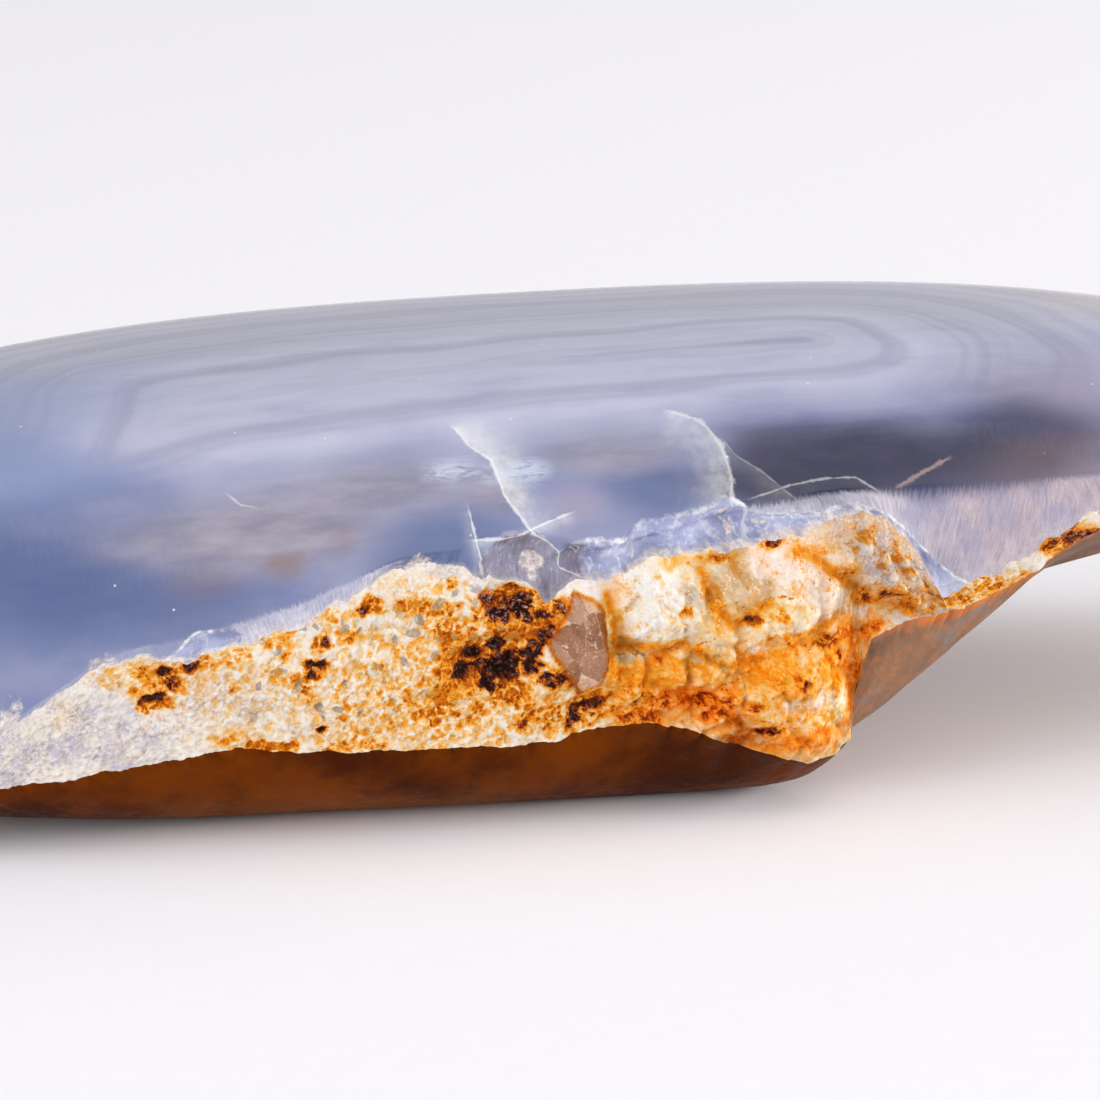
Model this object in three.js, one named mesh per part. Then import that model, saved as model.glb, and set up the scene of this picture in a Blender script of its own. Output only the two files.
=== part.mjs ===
// Blue lace agate: a long freeform stone with a polished dome, a ground bevel and a flat rest face,
// which keeps its rough rind along the front edge. Millimetres, +Z up, -Y is the front.
// The origin is the middle of the rest face, straight under the top of the dome.
import * as THREE from "three";

// The plan outline and the dome
const HALF_LENGTH = 32;
const HALF_WIDTH = 12.4;
const PLAN_POWER = 2.5; // 2 would be an ellipse, more is squarer
const GIRDLE_HEIGHT = 3.6; // where the dome's side would stand upright
const DOME_RISE = 10.5; // from there to the top
const DOME_POWER = 2.9;

// A place on the rim is its distance along the outline from the middle of the front, right positive.
// Each pair below is that distance and a height.
const POLISH_EDGE = [
  [-60, 6.6], [-45, 5.0], [-37, 4.3], [-30, 4.0], [-22, 3.9], [-20, 5.25], [-18.6, 6.3], [-15.8, 6.9],
  [-12.8, 7.7], [-9.8, 8.8], [-7.3, 9.0], [-5.5, 9.3], [-3.1, 8.7], [0, 9.3], [1.9, 9.75], [4.2, 9.95],
  [9, 10.05], [15.6, 9.9], [22, 9.7], [30, 9.3], [38, 8.9], [50, 8.7], [65, 8.1], [75, 7.4],
];
const RIND_TOP = [
  [-60, 5.6], [-45, 4.4], [-37, 3.8], [-30, 3.6], [-22, 3.6], [-20.2, 4.8], [-18.7, 6.0], [-17.4, 6.15],
  [-15.9, 5.95], [-14.6, 6.5], [-12.8, 6.85], [-11.5, 7.5], [-9.6, 8.6], [-8, 8.6], [-7, 8.1], [-5.7, 8.0],
  [-4.9, 7.3], [-3.8, 7.9], [-2.8, 7.8], [-1.5, 8.3], [1.5, 8.5], [2.9, 8.7], [4.5, 9.15], [5.6, 9.3],
  [6.6, 9.0], [7.3, 8.2], [8.0, 7.2], [8.4, 6.5], [9, 6.6], [10.5, 7.15], [12.2, 7.95], [14, 8.85],
  [17, 9.15], [22, 9.05], [30, 8.6], [38, 8.2], [50, 7.9], [65, 7.1], [75, 6.4],
];
const RIND_BOTTOM = [
  [-60, 3.2], [-45, 2.5], [-37, 2.2], [-30, 2.1], [-21.8, 2.25], [-19.4, 2.45], [-16.9, 2.9], [-14.5, 3.2],
  [-12, 2.95], [-8.3, 2.85], [-5.7, 2.7], [-4.4, 2.85], [-3.1, 3.2], [-1.8, 3.3], [-0.5, 3.15], [0.8, 2.55],
  [2.5, 1.95], [3.5, 1.7], [4.5, 1.85], [5.1, 2.3], [5.5, 4.6], [5.8, 5.4], [6.8, 5.7], [8.2, 6.0],
  [9, 6.1], [10.5, 6.65], [12.2, 7.45], [14, 8.35], [17, 8.7], [22, 8.5], [30, 7.6], [38, 6.9],
  [50, 6.5], [65, 5.3], [75, 4.2],
];
// Distance along the rim, and how far out the rest face reaches as a share of the way to the outline
const REST_REACH = [
  [-60, 0.6], [-45, 0.56], [-37, 0.53], [-28, 0.6], [-21, 0.68], [-12, 0.67], [-2.7, 0.7], [1.5, 0.75],
  [4.8, 0.72], [7, 0.58], [12, 0.38], [19, 0.25], [28, 0.18], [37, 0.16], [50, 0.19], [63, 0.4], [75, 0.58],
];
// Distance along the rim, and how full the underside is under the rim: 0 is straight, less is hollow
const FULLNESS = [
  [-60, 0.8], [-20, 0.9], [5, 0.9], [8, 0.75], [13, 0.1], [22, -0.75], [32, -0.85], [50, -0.8],
  [62, 0], [75, 0.8],
];

const WALL_REACH = 0.985; // least share of the way out where the top of the rind wall stands
const WALL_LEAN = 0.016; // how much further out its foot is
const BEVEL_LIP = 0.003; // least step out from the polished dome to the wall
const LEAST_WALL = 0.4; // least height of the rind
const LEAST_BEVEL = 0.15; // least height of the bevel above it

// Swells and hollows of the rind: [along the rim, height, half width, half height, how far it stands out]
const SWELLS = [
  [0.9, 5.6, 4.4, 3.6, 0.95], // the big lump of quartz and feldspar
  [2.9, 3.4, 2.3, 2.1, 0.75], // its nose, low on the right
  [-1.7, 7.0, 1.5, 1.5, 0.3], // the white quartz
  [3.6, 7.3, 1.8, 1.5, 0.35], // the pink feldspar
  [-1.5, 5.0, 1.6, 0.8, -0.55], // the ochre hollow
  [-0.6, 3.8, 1.2, 0.8, -0.5], // the arch under the lump
  [6.3, 7.6, 2.0, 1.5, 0.45], // the crust of small round beads
  [-6.2, 7.4, 1.1, 0.9, -0.55], // the pits with the iron stain
  [-6.3, 5.5, 1.8, 1.0, -0.5],
  [-16.5, 5.7, 1.4, 0.9, -0.35],
  [-11.5, 5.0, 3.2, 1.7, 0.25],
  [-45, 3.4, 6, 1.4, 0.4],
  [-62, 4.6, 7, 1.6, 0.5],
  [58, 6.2, 8, 1.4, 0.4],
];
// Clefts between the grains: [depth, half width, then the corners as distance along the rim and height]
const CLEFTS = [
  [0.5, 0.4, [-3.0, 7.8], [-2.7, 6.3], [-3.1, 4.4]],
  [0.45, 0.45, [-3.0, 5.7], [-0.6, 5.8], [0.6, 5.0], [2.6, 5.3], [4.6, 6.2]],
  [0.5, 0.45, [2.4, 8.9], [3.9, 8.1], [5.1, 7.15], [6.4, 6.3]],
  [0.35, 0.35, [0.1, 8.6], [0.3, 6.9], [0.9, 6.3], [2.2, 6.9]],
  [0.4, 0.4, [-1.4, 4.5], [0.3, 4.0], [1.1, 3.2], [1.3, 2.4]],
];
// The broken quartz grain set in the wall: each flat face is [reach, lean along the rim, lean up]
const GRAIN_AT = [-3.9, 5.9];
const GRAIN_FACES = [
  [0.8, 0.05, -0.1], [1.2, 0.95, 0.3], [1.2, -0.9, 0.25], [1.5, 0.1, -0.8], [1.45, 0.15, 0.8],
];

// Knobs all over the rind, and flat-faced grains in the lump: how far they stand out and their spacing
const KNOB_RELIEF = 0.13;
const KNOB_SPACING = 1.1;
const GRAIN_RELIEF = 0.3;
const GRAIN_SPACING = 1.45;
const GRAIN_TILT = 1.6; // steepness of the grains' faces
const GROOVE_WIDTH = 0.25; // of the grooves between grains, as shares of their spacing and relief
const GROOVE_DEPTH = 0.5;
const LUMP_FROM = -3.2;
const LUMP_TO = 5.3;
const LUMP_FADE = 0.8;

// Hollow chips along the bevel: [along the rim, half length, depth]
const CHIPS = [[-5.6, 1.2, 0.5], [-3.6, 1.1, 0.55], [-1.6, 0.9, 0.35], [1.2, 1.5, 0.45]];

// The mesh: a fine step where the rind is rough, a coarse one elsewhere
const FINE_STEP = 0.44;
const COARSE_STEP = 1.75;
const FINE_FROM = -24;
const FINE_TO = 11;
const REST_ROWS = 1;
const UNDER_ROWS = 5;
const WALL_ROWS = 12;
const BEVEL_ROWS = 3;
const DOME_ROWS = 9;

const OUTLINE_STEPS = 7200;

// Points of the plan outline with their distance along it, from the middle of the back round by the left
function measureOutline() {
  const points = [];
  let along = 0;
  for (let i = 0; i <= OUTLINE_STEPS; i++) {
    const turn = Math.PI / 2 + (2 * Math.PI * i) / OUTLINE_STEPS;
    const bend = (v) => Math.sign(v) * Math.abs(v) ** (2 / PLAN_POWER);
    const x = HALF_LENGTH * bend(Math.cos(turn));
    const y = HALF_WIDTH * bend(Math.sin(turn));
    if (i) along += Math.hypot(x - points[i - 1].x, y - points[i - 1].y);
    points.push({ x, y, along });
  }
  return points;
}
const outline = measureOutline();
const rimLength = outline[OUTLINE_STEPS].along;

// The plan outline's point and outward direction at a distance along the rim
function outlineAt(along) {
  const wanted = along + rimLength / 2;
  let low = 0;
  let high = OUTLINE_STEPS;
  while (high - low > 1) {
    const middle = (low + high) >> 1;
    if (outline[middle].along <= wanted) low = middle;
    else high = middle;
  }
  const a = outline[low];
  const b = outline[high];
  const t = (wanted - a.along) / (b.along - a.along);
  const length = Math.hypot(b.x - a.x, b.y - a.y);
  return {
    x: a.x + t * (b.x - a.x),
    y: a.y + t * (b.y - a.y),
    outX: (b.y - a.y) / length,
    outY: -(b.x - a.x) / length,
  };
}

// A value read from pairs at a distance along the rim, which closes on itself
function readPairs(pairs, along) {
  const count = pairs.length;
  let i = 0;
  while (i < count && pairs[i][0] <= along) i++;
  const before = pairs[(i + count - 1) % count];
  const after = pairs[i % count];
  const from = before[0] - (i === 0 ? rimLength : 0);
  const to = after[0] + (i === count ? rimLength : 0);
  return before[1] + ((after[1] - before[1]) * (along - from)) / (to - from);
}

// The same, rounded off by averaging over a stretch of rim
function readSmooth(pairs, along, stretch) {
  const samples = 9;
  let sum = 0;
  for (let i = 0; i < samples; i++) {
    let at = along + stretch * (i / (samples - 1) - 0.5);
    if (at > rimLength / 2) at -= rimLength;
    if (at < -rimLength / 2) at += rimLength;
    sum += readPairs(pairs, at);
  }
  return sum / samples;
}

const domeHeight = (reach) => GIRDLE_HEIGHT + DOME_RISE * (1 - reach ** DOME_POWER) ** (1 / DOME_POWER);
const domeReach = (height) =>
  (1 - Math.min(1, Math.max(0, (height - GIRDLE_HEIGHT) / DOME_RISE)) ** DOME_POWER) ** (1 / DOME_POWER);

// A repeatable value from 0 to 1 for each corner of a grid
function cornerValue(i, j, k) {
  let h = Math.imul(i, 374761393) ^ Math.imul(j, 668265263) ^ Math.imul(k, 1274126177);
  h = Math.imul(h ^ (h >>> 13), 1103515245);
  return ((h ^ (h >>> 16)) >>> 0) / 4294967295;
}

// Smooth noise from -1 to 1
function noise(x, y, z) {
  const i = Math.floor(x);
  const j = Math.floor(y);
  const k = Math.floor(z);
  const ease = (t) => t * t * (3 - 2 * t);
  const u = ease(x - i);
  const v = ease(y - j);
  const w = ease(z - k);
  const mix = (a, b, t) => a + (b - a) * t;
  const edge = (dj, dk) => mix(cornerValue(i, j + dj, k + dk), cornerValue(i + 1, j + dj, k + dk), u);
  return 2 * mix(mix(edge(0, 0), edge(1, 0), v), mix(edge(0, 1), edge(1, 1), v), w) - 1;
}

// Flat-faced grains with grooves between them: each cell of a jittered grid is one tilted facet
function grains(along, height, spacing) {
  const x = along / spacing;
  const y = height / spacing;
  let nearest = Infinity;
  let second = Infinity;
  let facet = 0;
  for (let i = Math.floor(x) - 1; i <= Math.floor(x) + 1; i++) {
    for (let j = Math.floor(y) - 1; j <= Math.floor(y) + 1; j++) {
      const dx = x - i - cornerValue(i, j, 11);
      const dy = y - j - cornerValue(i, j, 12);
      const distance = Math.hypot(dx, dy);
      if (distance < nearest) {
        second = nearest;
        nearest = distance;
        const tilt = (k) => GRAIN_TILT * (cornerValue(i, j, k) - 0.5);
        facet = cornerValue(i, j, 13) + tilt(14) * dx + tilt(15) * dy;
      } else if (distance < second) second = distance;
    }
  }
  const raised = Math.min(1, (second - nearest) / GROOVE_WIDTH);
  return facet * raised - GROOVE_DEPTH * (1 - raised);
}

// Distance from a place on the wall to a run of corners
function distanceTo(corners, along, height) {
  let least = Infinity;
  for (let i = 1; i < corners.length; i++) {
    const [ax, ay] = corners[i - 1];
    const dx = corners[i][0] - ax;
    const dy = corners[i][1] - ay;
    const t = Math.min(1, Math.max(0, ((along - ax) * dx + (height - ay) * dy) / (dx * dx + dy * dy)));
    least = Math.min(least, Math.hypot(along - ax - t * dx, height - ay - t * dy));
  }
  return least;
}

// How far the rind wall stands out from its plain surface
function relief(along, height) {
  let out = 0;
  for (const [at, up, halfWidth, halfHeight, stands] of SWELLS) {
    const d = ((along - at) / halfWidth) ** 2 + ((height - up) / halfHeight) ** 2;
    if (d < 1) out += stands * (1 - d * d) ** 2;
  }
  out += KNOB_RELIEF * noise(along / KNOB_SPACING + 40, height / KNOB_SPACING, 3);
  out += 0.5 * KNOB_RELIEF * noise((2 * along) / KNOB_SPACING + 90, (2 * height) / KNOB_SPACING, 7);
  const inLump = Math.min(1, Math.max(0, Math.min(along - LUMP_FROM, LUMP_TO - along) / LUMP_FADE));
  if (inLump > 0) out += GRAIN_RELIEF * inLump * grains(along, height, GRAIN_SPACING);
  for (const [depth, halfWidth, ...corners] of CLEFTS) {
    const d = distanceTo(corners, along, height) / halfWidth;
    if (d < 2) out -= depth * Math.exp(-d * d);
  }
  const dx = along - GRAIN_AT[0];
  const dz = height - GRAIN_AT[1];
  const grain = Math.min(...GRAIN_FACES.map(([reach, lean, rise]) => reach - lean * dx - rise * dz));
  return Math.max(out, grain);
}

// How deep the bevel is chipped
function chipDepth(along) {
  let depth = 0;
  for (const [at, halfLength, deep] of CHIPS) {
    const d = ((along - at) / halfLength) ** 2;
    if (d < 1) depth += deep * (1 - d);
  }
  return depth;
}

// The stone's section from the middle of the rest face out, up the rim and back over the dome, as points
function section(along) {
  const rim = outlineAt(along);
  const restReach = readSmooth(REST_REACH, along, 8);
  const bottom = readPairs(RIND_BOTTOM, along);
  const top = Math.max(readPairs(RIND_TOP, along), bottom + LEAST_WALL);
  const polish = Math.max(readSmooth(POLISH_EDGE, along, 1), top + LEAST_BEVEL);
  const full = readSmooth(FULLNESS, along, 7);
  const points = [];
  const add = (reach, height, out = 0) =>
    points.push([rim.x * reach + rim.outX * out, rim.y * reach + rim.outY * out, height]);

  for (let i = 1; i <= REST_ROWS; i++) add((restReach * i) / REST_ROWS, 0);

  const polishReach = domeReach(polish);
  const topReach = Math.max(WALL_REACH, polishReach + BEVEL_LIP);
  const footReach = topReach + WALL_LEAN;
  const footRelief = relief(along, bottom);
  // A full underside bulges out and down of the straight line, a hollow one stays in and up
  const midReach = restReach + (footReach - restReach) * (0.5 + 0.28 * full);
  const midHeight = bottom * (0.5 - 0.34 * full);
  for (let i = 1; i < UNDER_ROWS; i++) {
    const t = i / UNDER_ROWS;
    const reach = (1 - t) ** 2 * restReach + 2 * t * (1 - t) * midReach + t ** 2 * footReach;
    add(reach, 2 * t * (1 - t) * midHeight + t ** 2 * bottom, footRelief * t ** 4);
  }
  for (let i = 0; i <= WALL_ROWS; i++) {
    const t = i / WALL_ROWS;
    const height = bottom + (top - bottom) * t;
    // The rind stands a little back where it meets the bevel
    const meets = 1 - t ** 6;
    add(footReach + (topReach - footReach) * t, height, relief(along, height) * meets);
  }
  const chip = chipDepth(along);
  for (let i = 1; i < BEVEL_ROWS; i++) {
    const t = i / BEVEL_ROWS;
    add(topReach + (polishReach - topReach) * t, top + (polish - top) * t, -chip * 4 * t * (1 - t));
  }
  for (let i = 0; i < DOME_ROWS; i++) {
    const reach = polishReach * Math.cos(((Math.PI / 2) * i) / DOME_ROWS);
    add(reach, domeHeight(reach));
  }
  return points;
}

// Places along the rim, close together on the rough front
function stations() {
  const places = [];
  const margin = 6;
  for (let along = -rimLength / 2; along < rimLength / 2 - COARSE_STEP / 2; ) {
    places.push(along);
    const outside = Math.max(0, FINE_FROM - along, along - FINE_TO);
    along += FINE_STEP + (COARSE_STEP - FINE_STEP) * Math.min(1, outside / margin);
  }
  return places;
}

// One closed surface: a ring of sections with a point at the rest face's middle and one at the top
function stoneGeometry() {
  const sections = stations().map(section);
  const columns = sections.length;
  const rows = sections[0].length;
  const positions = sections.flat(2);
  const restMiddle = columns * rows;
  const summit = restMiddle + 1;
  positions.push(0, 0, 0, 0, 0, GIRDLE_HEIGHT + DOME_RISE);
  const index = [];
  for (let c = 0; c < columns; c++) {
    const here = c * rows;
    const next = ((c + 1) % columns) * rows;
    index.push(restMiddle, next, here);
    for (let r = 0; r < rows - 1; r++) {
      index.push(here + r, next + r + 1, here + r + 1, here + r, next + r, next + r + 1);
    }
    index.push(here + rows - 1, next + rows - 1, summit);
  }
  const geometry = new THREE.BufferGeometry();
  geometry.setAttribute("position", new THREE.Float32BufferAttribute(positions, 3));
  geometry.setIndex(index);
  geometry.computeVertexNormals();
  return geometry;
}

const chalcedony = new THREE.MeshStandardMaterial({ color: 0x9aa3c4, roughness: 0.12, metalness: 0 });
const agate = new THREE.Mesh(stoneGeometry(), chalcedony);
agate.name = "agate";

const stone = new THREE.Group();
stone.add(agate);
export default stone;
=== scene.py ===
# Blue lace agate: the finished surface of the stone, its materials, a pale floor, soft light and the camera.
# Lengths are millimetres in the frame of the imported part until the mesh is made, which is in metres.
import math
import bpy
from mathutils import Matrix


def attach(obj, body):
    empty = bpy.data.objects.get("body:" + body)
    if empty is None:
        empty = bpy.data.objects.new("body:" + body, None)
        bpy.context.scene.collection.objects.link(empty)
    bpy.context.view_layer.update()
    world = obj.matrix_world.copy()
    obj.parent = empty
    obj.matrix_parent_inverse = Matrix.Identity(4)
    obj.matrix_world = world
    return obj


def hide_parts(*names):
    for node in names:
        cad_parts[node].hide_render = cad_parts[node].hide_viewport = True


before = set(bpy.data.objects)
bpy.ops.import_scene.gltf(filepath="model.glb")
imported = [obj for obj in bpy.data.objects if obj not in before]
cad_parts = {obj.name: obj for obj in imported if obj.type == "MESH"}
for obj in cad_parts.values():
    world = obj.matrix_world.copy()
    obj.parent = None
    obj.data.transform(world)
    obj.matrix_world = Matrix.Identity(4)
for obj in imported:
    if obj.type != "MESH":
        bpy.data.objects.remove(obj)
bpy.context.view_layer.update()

from types import SimpleNamespace

import bpy
import numpy as np
from mathutils import Vector

MM = 0.001

# The stone's plan outline and dome
HALF_LENGTH = 32.0
HALF_WIDTH = 12.4
PLAN_POWER = 2.5
GIRDLE_HEIGHT = 3.6
DOME_RISE = 10.5
DOME_POWER = 2.9

# A place on the rim is its distance along the outline from the middle of the front, right positive.
# Each pair below is that distance and a height, or what its comment says.
POLISH_EDGE = [
    (-60, 6.6), (-45, 5.0), (-37, 4.3), (-30, 4.0), (-22, 3.9), (-20, 5.25), (-18.6, 6.3), (-15.8, 6.9),
    (-12.8, 7.7), (-9.8, 8.8), (-7.3, 9.0), (-5.5, 9.3), (-3.1, 8.7), (0, 9.3), (1.9, 9.75), (4.2, 9.95),
    (9, 10.05), (15.6, 9.9), (22, 9.7), (30, 9.3), (38, 8.9), (50, 8.7), (65, 8.1), (75, 7.4),
]
RIND_TOP = [
    (-60, 5.6), (-45, 4.4), (-37, 3.8), (-30, 3.6), (-22, 3.6), (-20.2, 4.8), (-18.7, 6.0), (-17.4, 6.15),
    (-15.9, 5.95), (-14.6, 6.5), (-12.8, 6.85), (-11.5, 7.5), (-9.6, 8.6), (-8, 8.6), (-7, 8.1),
    (-5.7, 8.0), (-4.9, 7.3), (-3.8, 7.9), (-2.8, 7.8), (-1.5, 8.3), (1.5, 8.5), (2.9, 8.7), (4.5, 9.15),
    (5.6, 9.3), (6.6, 9.0), (7.3, 8.2), (8.0, 7.2), (8.4, 6.5), (9, 6.6), (10.5, 7.15), (12.2, 7.95),
    (14, 8.85), (17, 9.15), (22, 9.05), (30, 8.6), (38, 8.2), (50, 7.9), (65, 7.1), (75, 6.4),
]
RIND_BOTTOM = [
    (-60, 3.2), (-45, 2.5), (-37, 2.2), (-30, 2.1), (-21.8, 2.25), (-19.4, 2.45), (-16.9, 2.9),
    (-14.5, 3.2), (-12, 2.95), (-8.3, 2.85), (-5.7, 2.7), (-4.4, 2.85), (-3.1, 3.2), (-1.8, 3.3),
    (-0.5, 3.15), (0.8, 2.55), (2.5, 1.95), (3.5, 1.7), (4.5, 1.85), (5.1, 2.3), (5.5, 4.6), (5.8, 5.4),
    (6.8, 5.7), (8.2, 6.0), (9, 6.1), (10.5, 6.65), (12.2, 7.45), (14, 8.35), (17, 8.7), (22, 8.5),
    (30, 7.6), (38, 6.9), (50, 6.5), (65, 5.3), (75, 4.2),
]
# How far out the rest face reaches, as a share of the way to the outline
REST_REACH = [
    (-60, 0.6), (-45, 0.56), (-37, 0.53), (-28, 0.6), (-21, 0.68), (-12, 0.67), (-2.7, 0.7), (1.5, 0.75),
    (4.8, 0.72), (7, 0.58), (12, 0.38), (19, 0.25), (28, 0.18), (37, 0.16), (50, 0.19), (63, 0.4), (75, 0.58),
]
# How full the underside is from rest face to rim: 0 is straight, less is hollow
FULLNESS = [
    (-60, 0.8), (-20, 0.9), (5, 0.9), (8, 0.75), (13, 0.1), (22, -0.75), (32, -0.85), (50, -0.8), (62, 0),
    (75, 0.8),
]
WALL_REACH = 0.985
WALL_LEAN = 0.016
BEVEL_LIP = 0.003
LEAST_WALL = 0.4
LEAST_BEVEL = 0.15

# Swells and hollows of the rind: (along the rim, height, half width, half height, how far it stands out)
SWELLS = [
    (0.9, 5.6, 4.4, 3.6, 0.95),
    (2.9, 3.4, 2.3, 2.1, 0.75),
    (-1.7, 7.0, 1.5, 1.5, 0.3),
    (3.6, 7.3, 1.8, 1.5, 0.35),
    (-1.5, 5.0, 1.6, 0.8, -0.55),
    (-0.6, 3.8, 1.2, 0.8, -0.5),
    (6.3, 7.6, 2.0, 1.5, 0.45),
    (-6.2, 7.4, 1.1, 0.9, -0.55),
    (-6.3, 5.5, 1.8, 1.0, -0.5),
    (-16.5, 5.7, 1.4, 0.9, -0.35),
    (-11.5, 5.0, 3.2, 1.7, 0.25),
    (-45, 3.4, 6, 1.4, 0.4),
    (-62, 4.6, 7, 1.6, 0.5),
    (58, 6.2, 8, 1.4, 0.4),
]
# Clefts between the grains of the lump: (depth, half width, corners)
CLEFTS = [
    (0.5, 0.4, [(-3.0, 7.8), (-2.7, 6.3), (-3.1, 4.4)]),
    (0.45, 0.45, [(-3.0, 5.7), (-0.6, 5.8), (0.6, 5.0), (2.6, 5.3), (4.6, 6.2)]),
    (0.5, 0.45, [(2.4, 8.9), (3.9, 8.1), (5.1, 7.15), (6.4, 6.3)]),
    (0.35, 0.35, [(0.1, 8.6), (0.3, 6.9), (0.9, 6.3), (2.2, 6.9)]),
    (0.4, 0.4, [(-1.4, 4.5), (0.3, 4.0), (1.1, 3.2), (1.3, 2.4)]),
]
# The broken quartz grain in the wall: its middle, flat faces as (reach, lean along the rim, lean up), and
# the corners of its outline, clockwise
GRAIN_AT = (-3.9, 5.9)
GRAIN_FACES = [(0.8, 0.05, -0.1), (1.2, 0.95, 0.3), (1.2, -0.9, 0.25), (1.5, 0.1, -0.8), (1.45, 0.15, 0.8)]
QUARTZ_CORNERS = [(-5.0, 5.9), (-4.03, 7.56), (-3.02, 7.02), (-2.98, 5.6), (-3.18, 4.5), (-3.95, 4.24)]
# Knobs all over the rind, and grains of the lump with grooves between them
KNOB_RELIEF = 0.13
KNOB_SPACING = 1.1
GRAIN_RELIEF = 0.3
GRAIN_SPACING = 1.45
GRAIN_TILT = 1.6
GROOVE_WIDTH = 0.25
GROOVE_DEPTH = 0.5
LUMP_FROM = -3.2
LUMP_TO = 5.3
LUMP_FADE = 0.8
# Chips out of the bevel: (along the rim, half length, depth)
CHIPS = [(-5.6, 1.2, 0.5), (-3.6, 1.1, 0.55), (-1.6, 0.9, 0.35), (1.2, 1.5, 0.45)]

# The finished mesh
FINE_STEP = 0.07
COARSE_STEP = 0.6
FINE_FROM = -24.0
FINE_TO = 11.5
STEP_MARGIN = 5.0
UNDER_ROWS = 13
WALL_ROWS = 78
BEVEL_ROWS = 16
DOME_ROWS = 42
DOME_CROWDING = 0.8  # under 1, the dome's rows are further apart near the rim
OUTLINE_STEPS = 7200

# How far the edges of the rind stray from their pairs
BOTTOM_STRAY = 0.05
TOP_STRAY = 0.13
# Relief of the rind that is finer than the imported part's
PORES = [(0.34, 0.8, 1.0, 20), (0.19, 0.7, 0.8, 40)]  # spacing, share of places, share of the depth, salt
PORE_DEPTH = 0.09
PORE_BEND = 0.09
GRIT_SIZE = 0.28
GRIT_RELIEF = 0.04
WAVE_SIZE = 0.9
WAVE_RELIEF = 0.07
BROKEN_RELIEF = 0.15
SMALL_GRAINS = [(0.62, 0.05, 50), (0.3, 0.06, 90)]  # spacing, relief, salt
BLACK_DEPTH = 0.12
BLACK_GRIT = 0.14
SMALL_BEAD_SPACING = 0.36
SMALL_BEAD_RADIUS = 0.6  # as a share of the spacing
SMALL_BEAD_RELIEF = 0.14
BEAD_RELIEF = 1.1  # times a bead's own height
QUARTZ_STRAY = 0.06
QUARTZ_FACETS = 0.1
QUARTZ_GRIT = 0.01
# Flakes off the bevel at the chipped strip: their plain depth, how far that differs, and their size
FLAKE_DEPTH = 0.06
FLAKE_RELIEF = 0.1
FLAKE_SIZE = 1.2
# A soft patch keeps its full strength up to the first share of its half sizes, and ends at the second
PATCH_CORE, PATCH_END = 0.45, 1.35
TONE_CORE = 0.3
# The materials of the stone's faces, and a distance that is beyond all others
POLISH, RIND, UNDERSIDE = range(3)
FAR = 99.0

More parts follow.
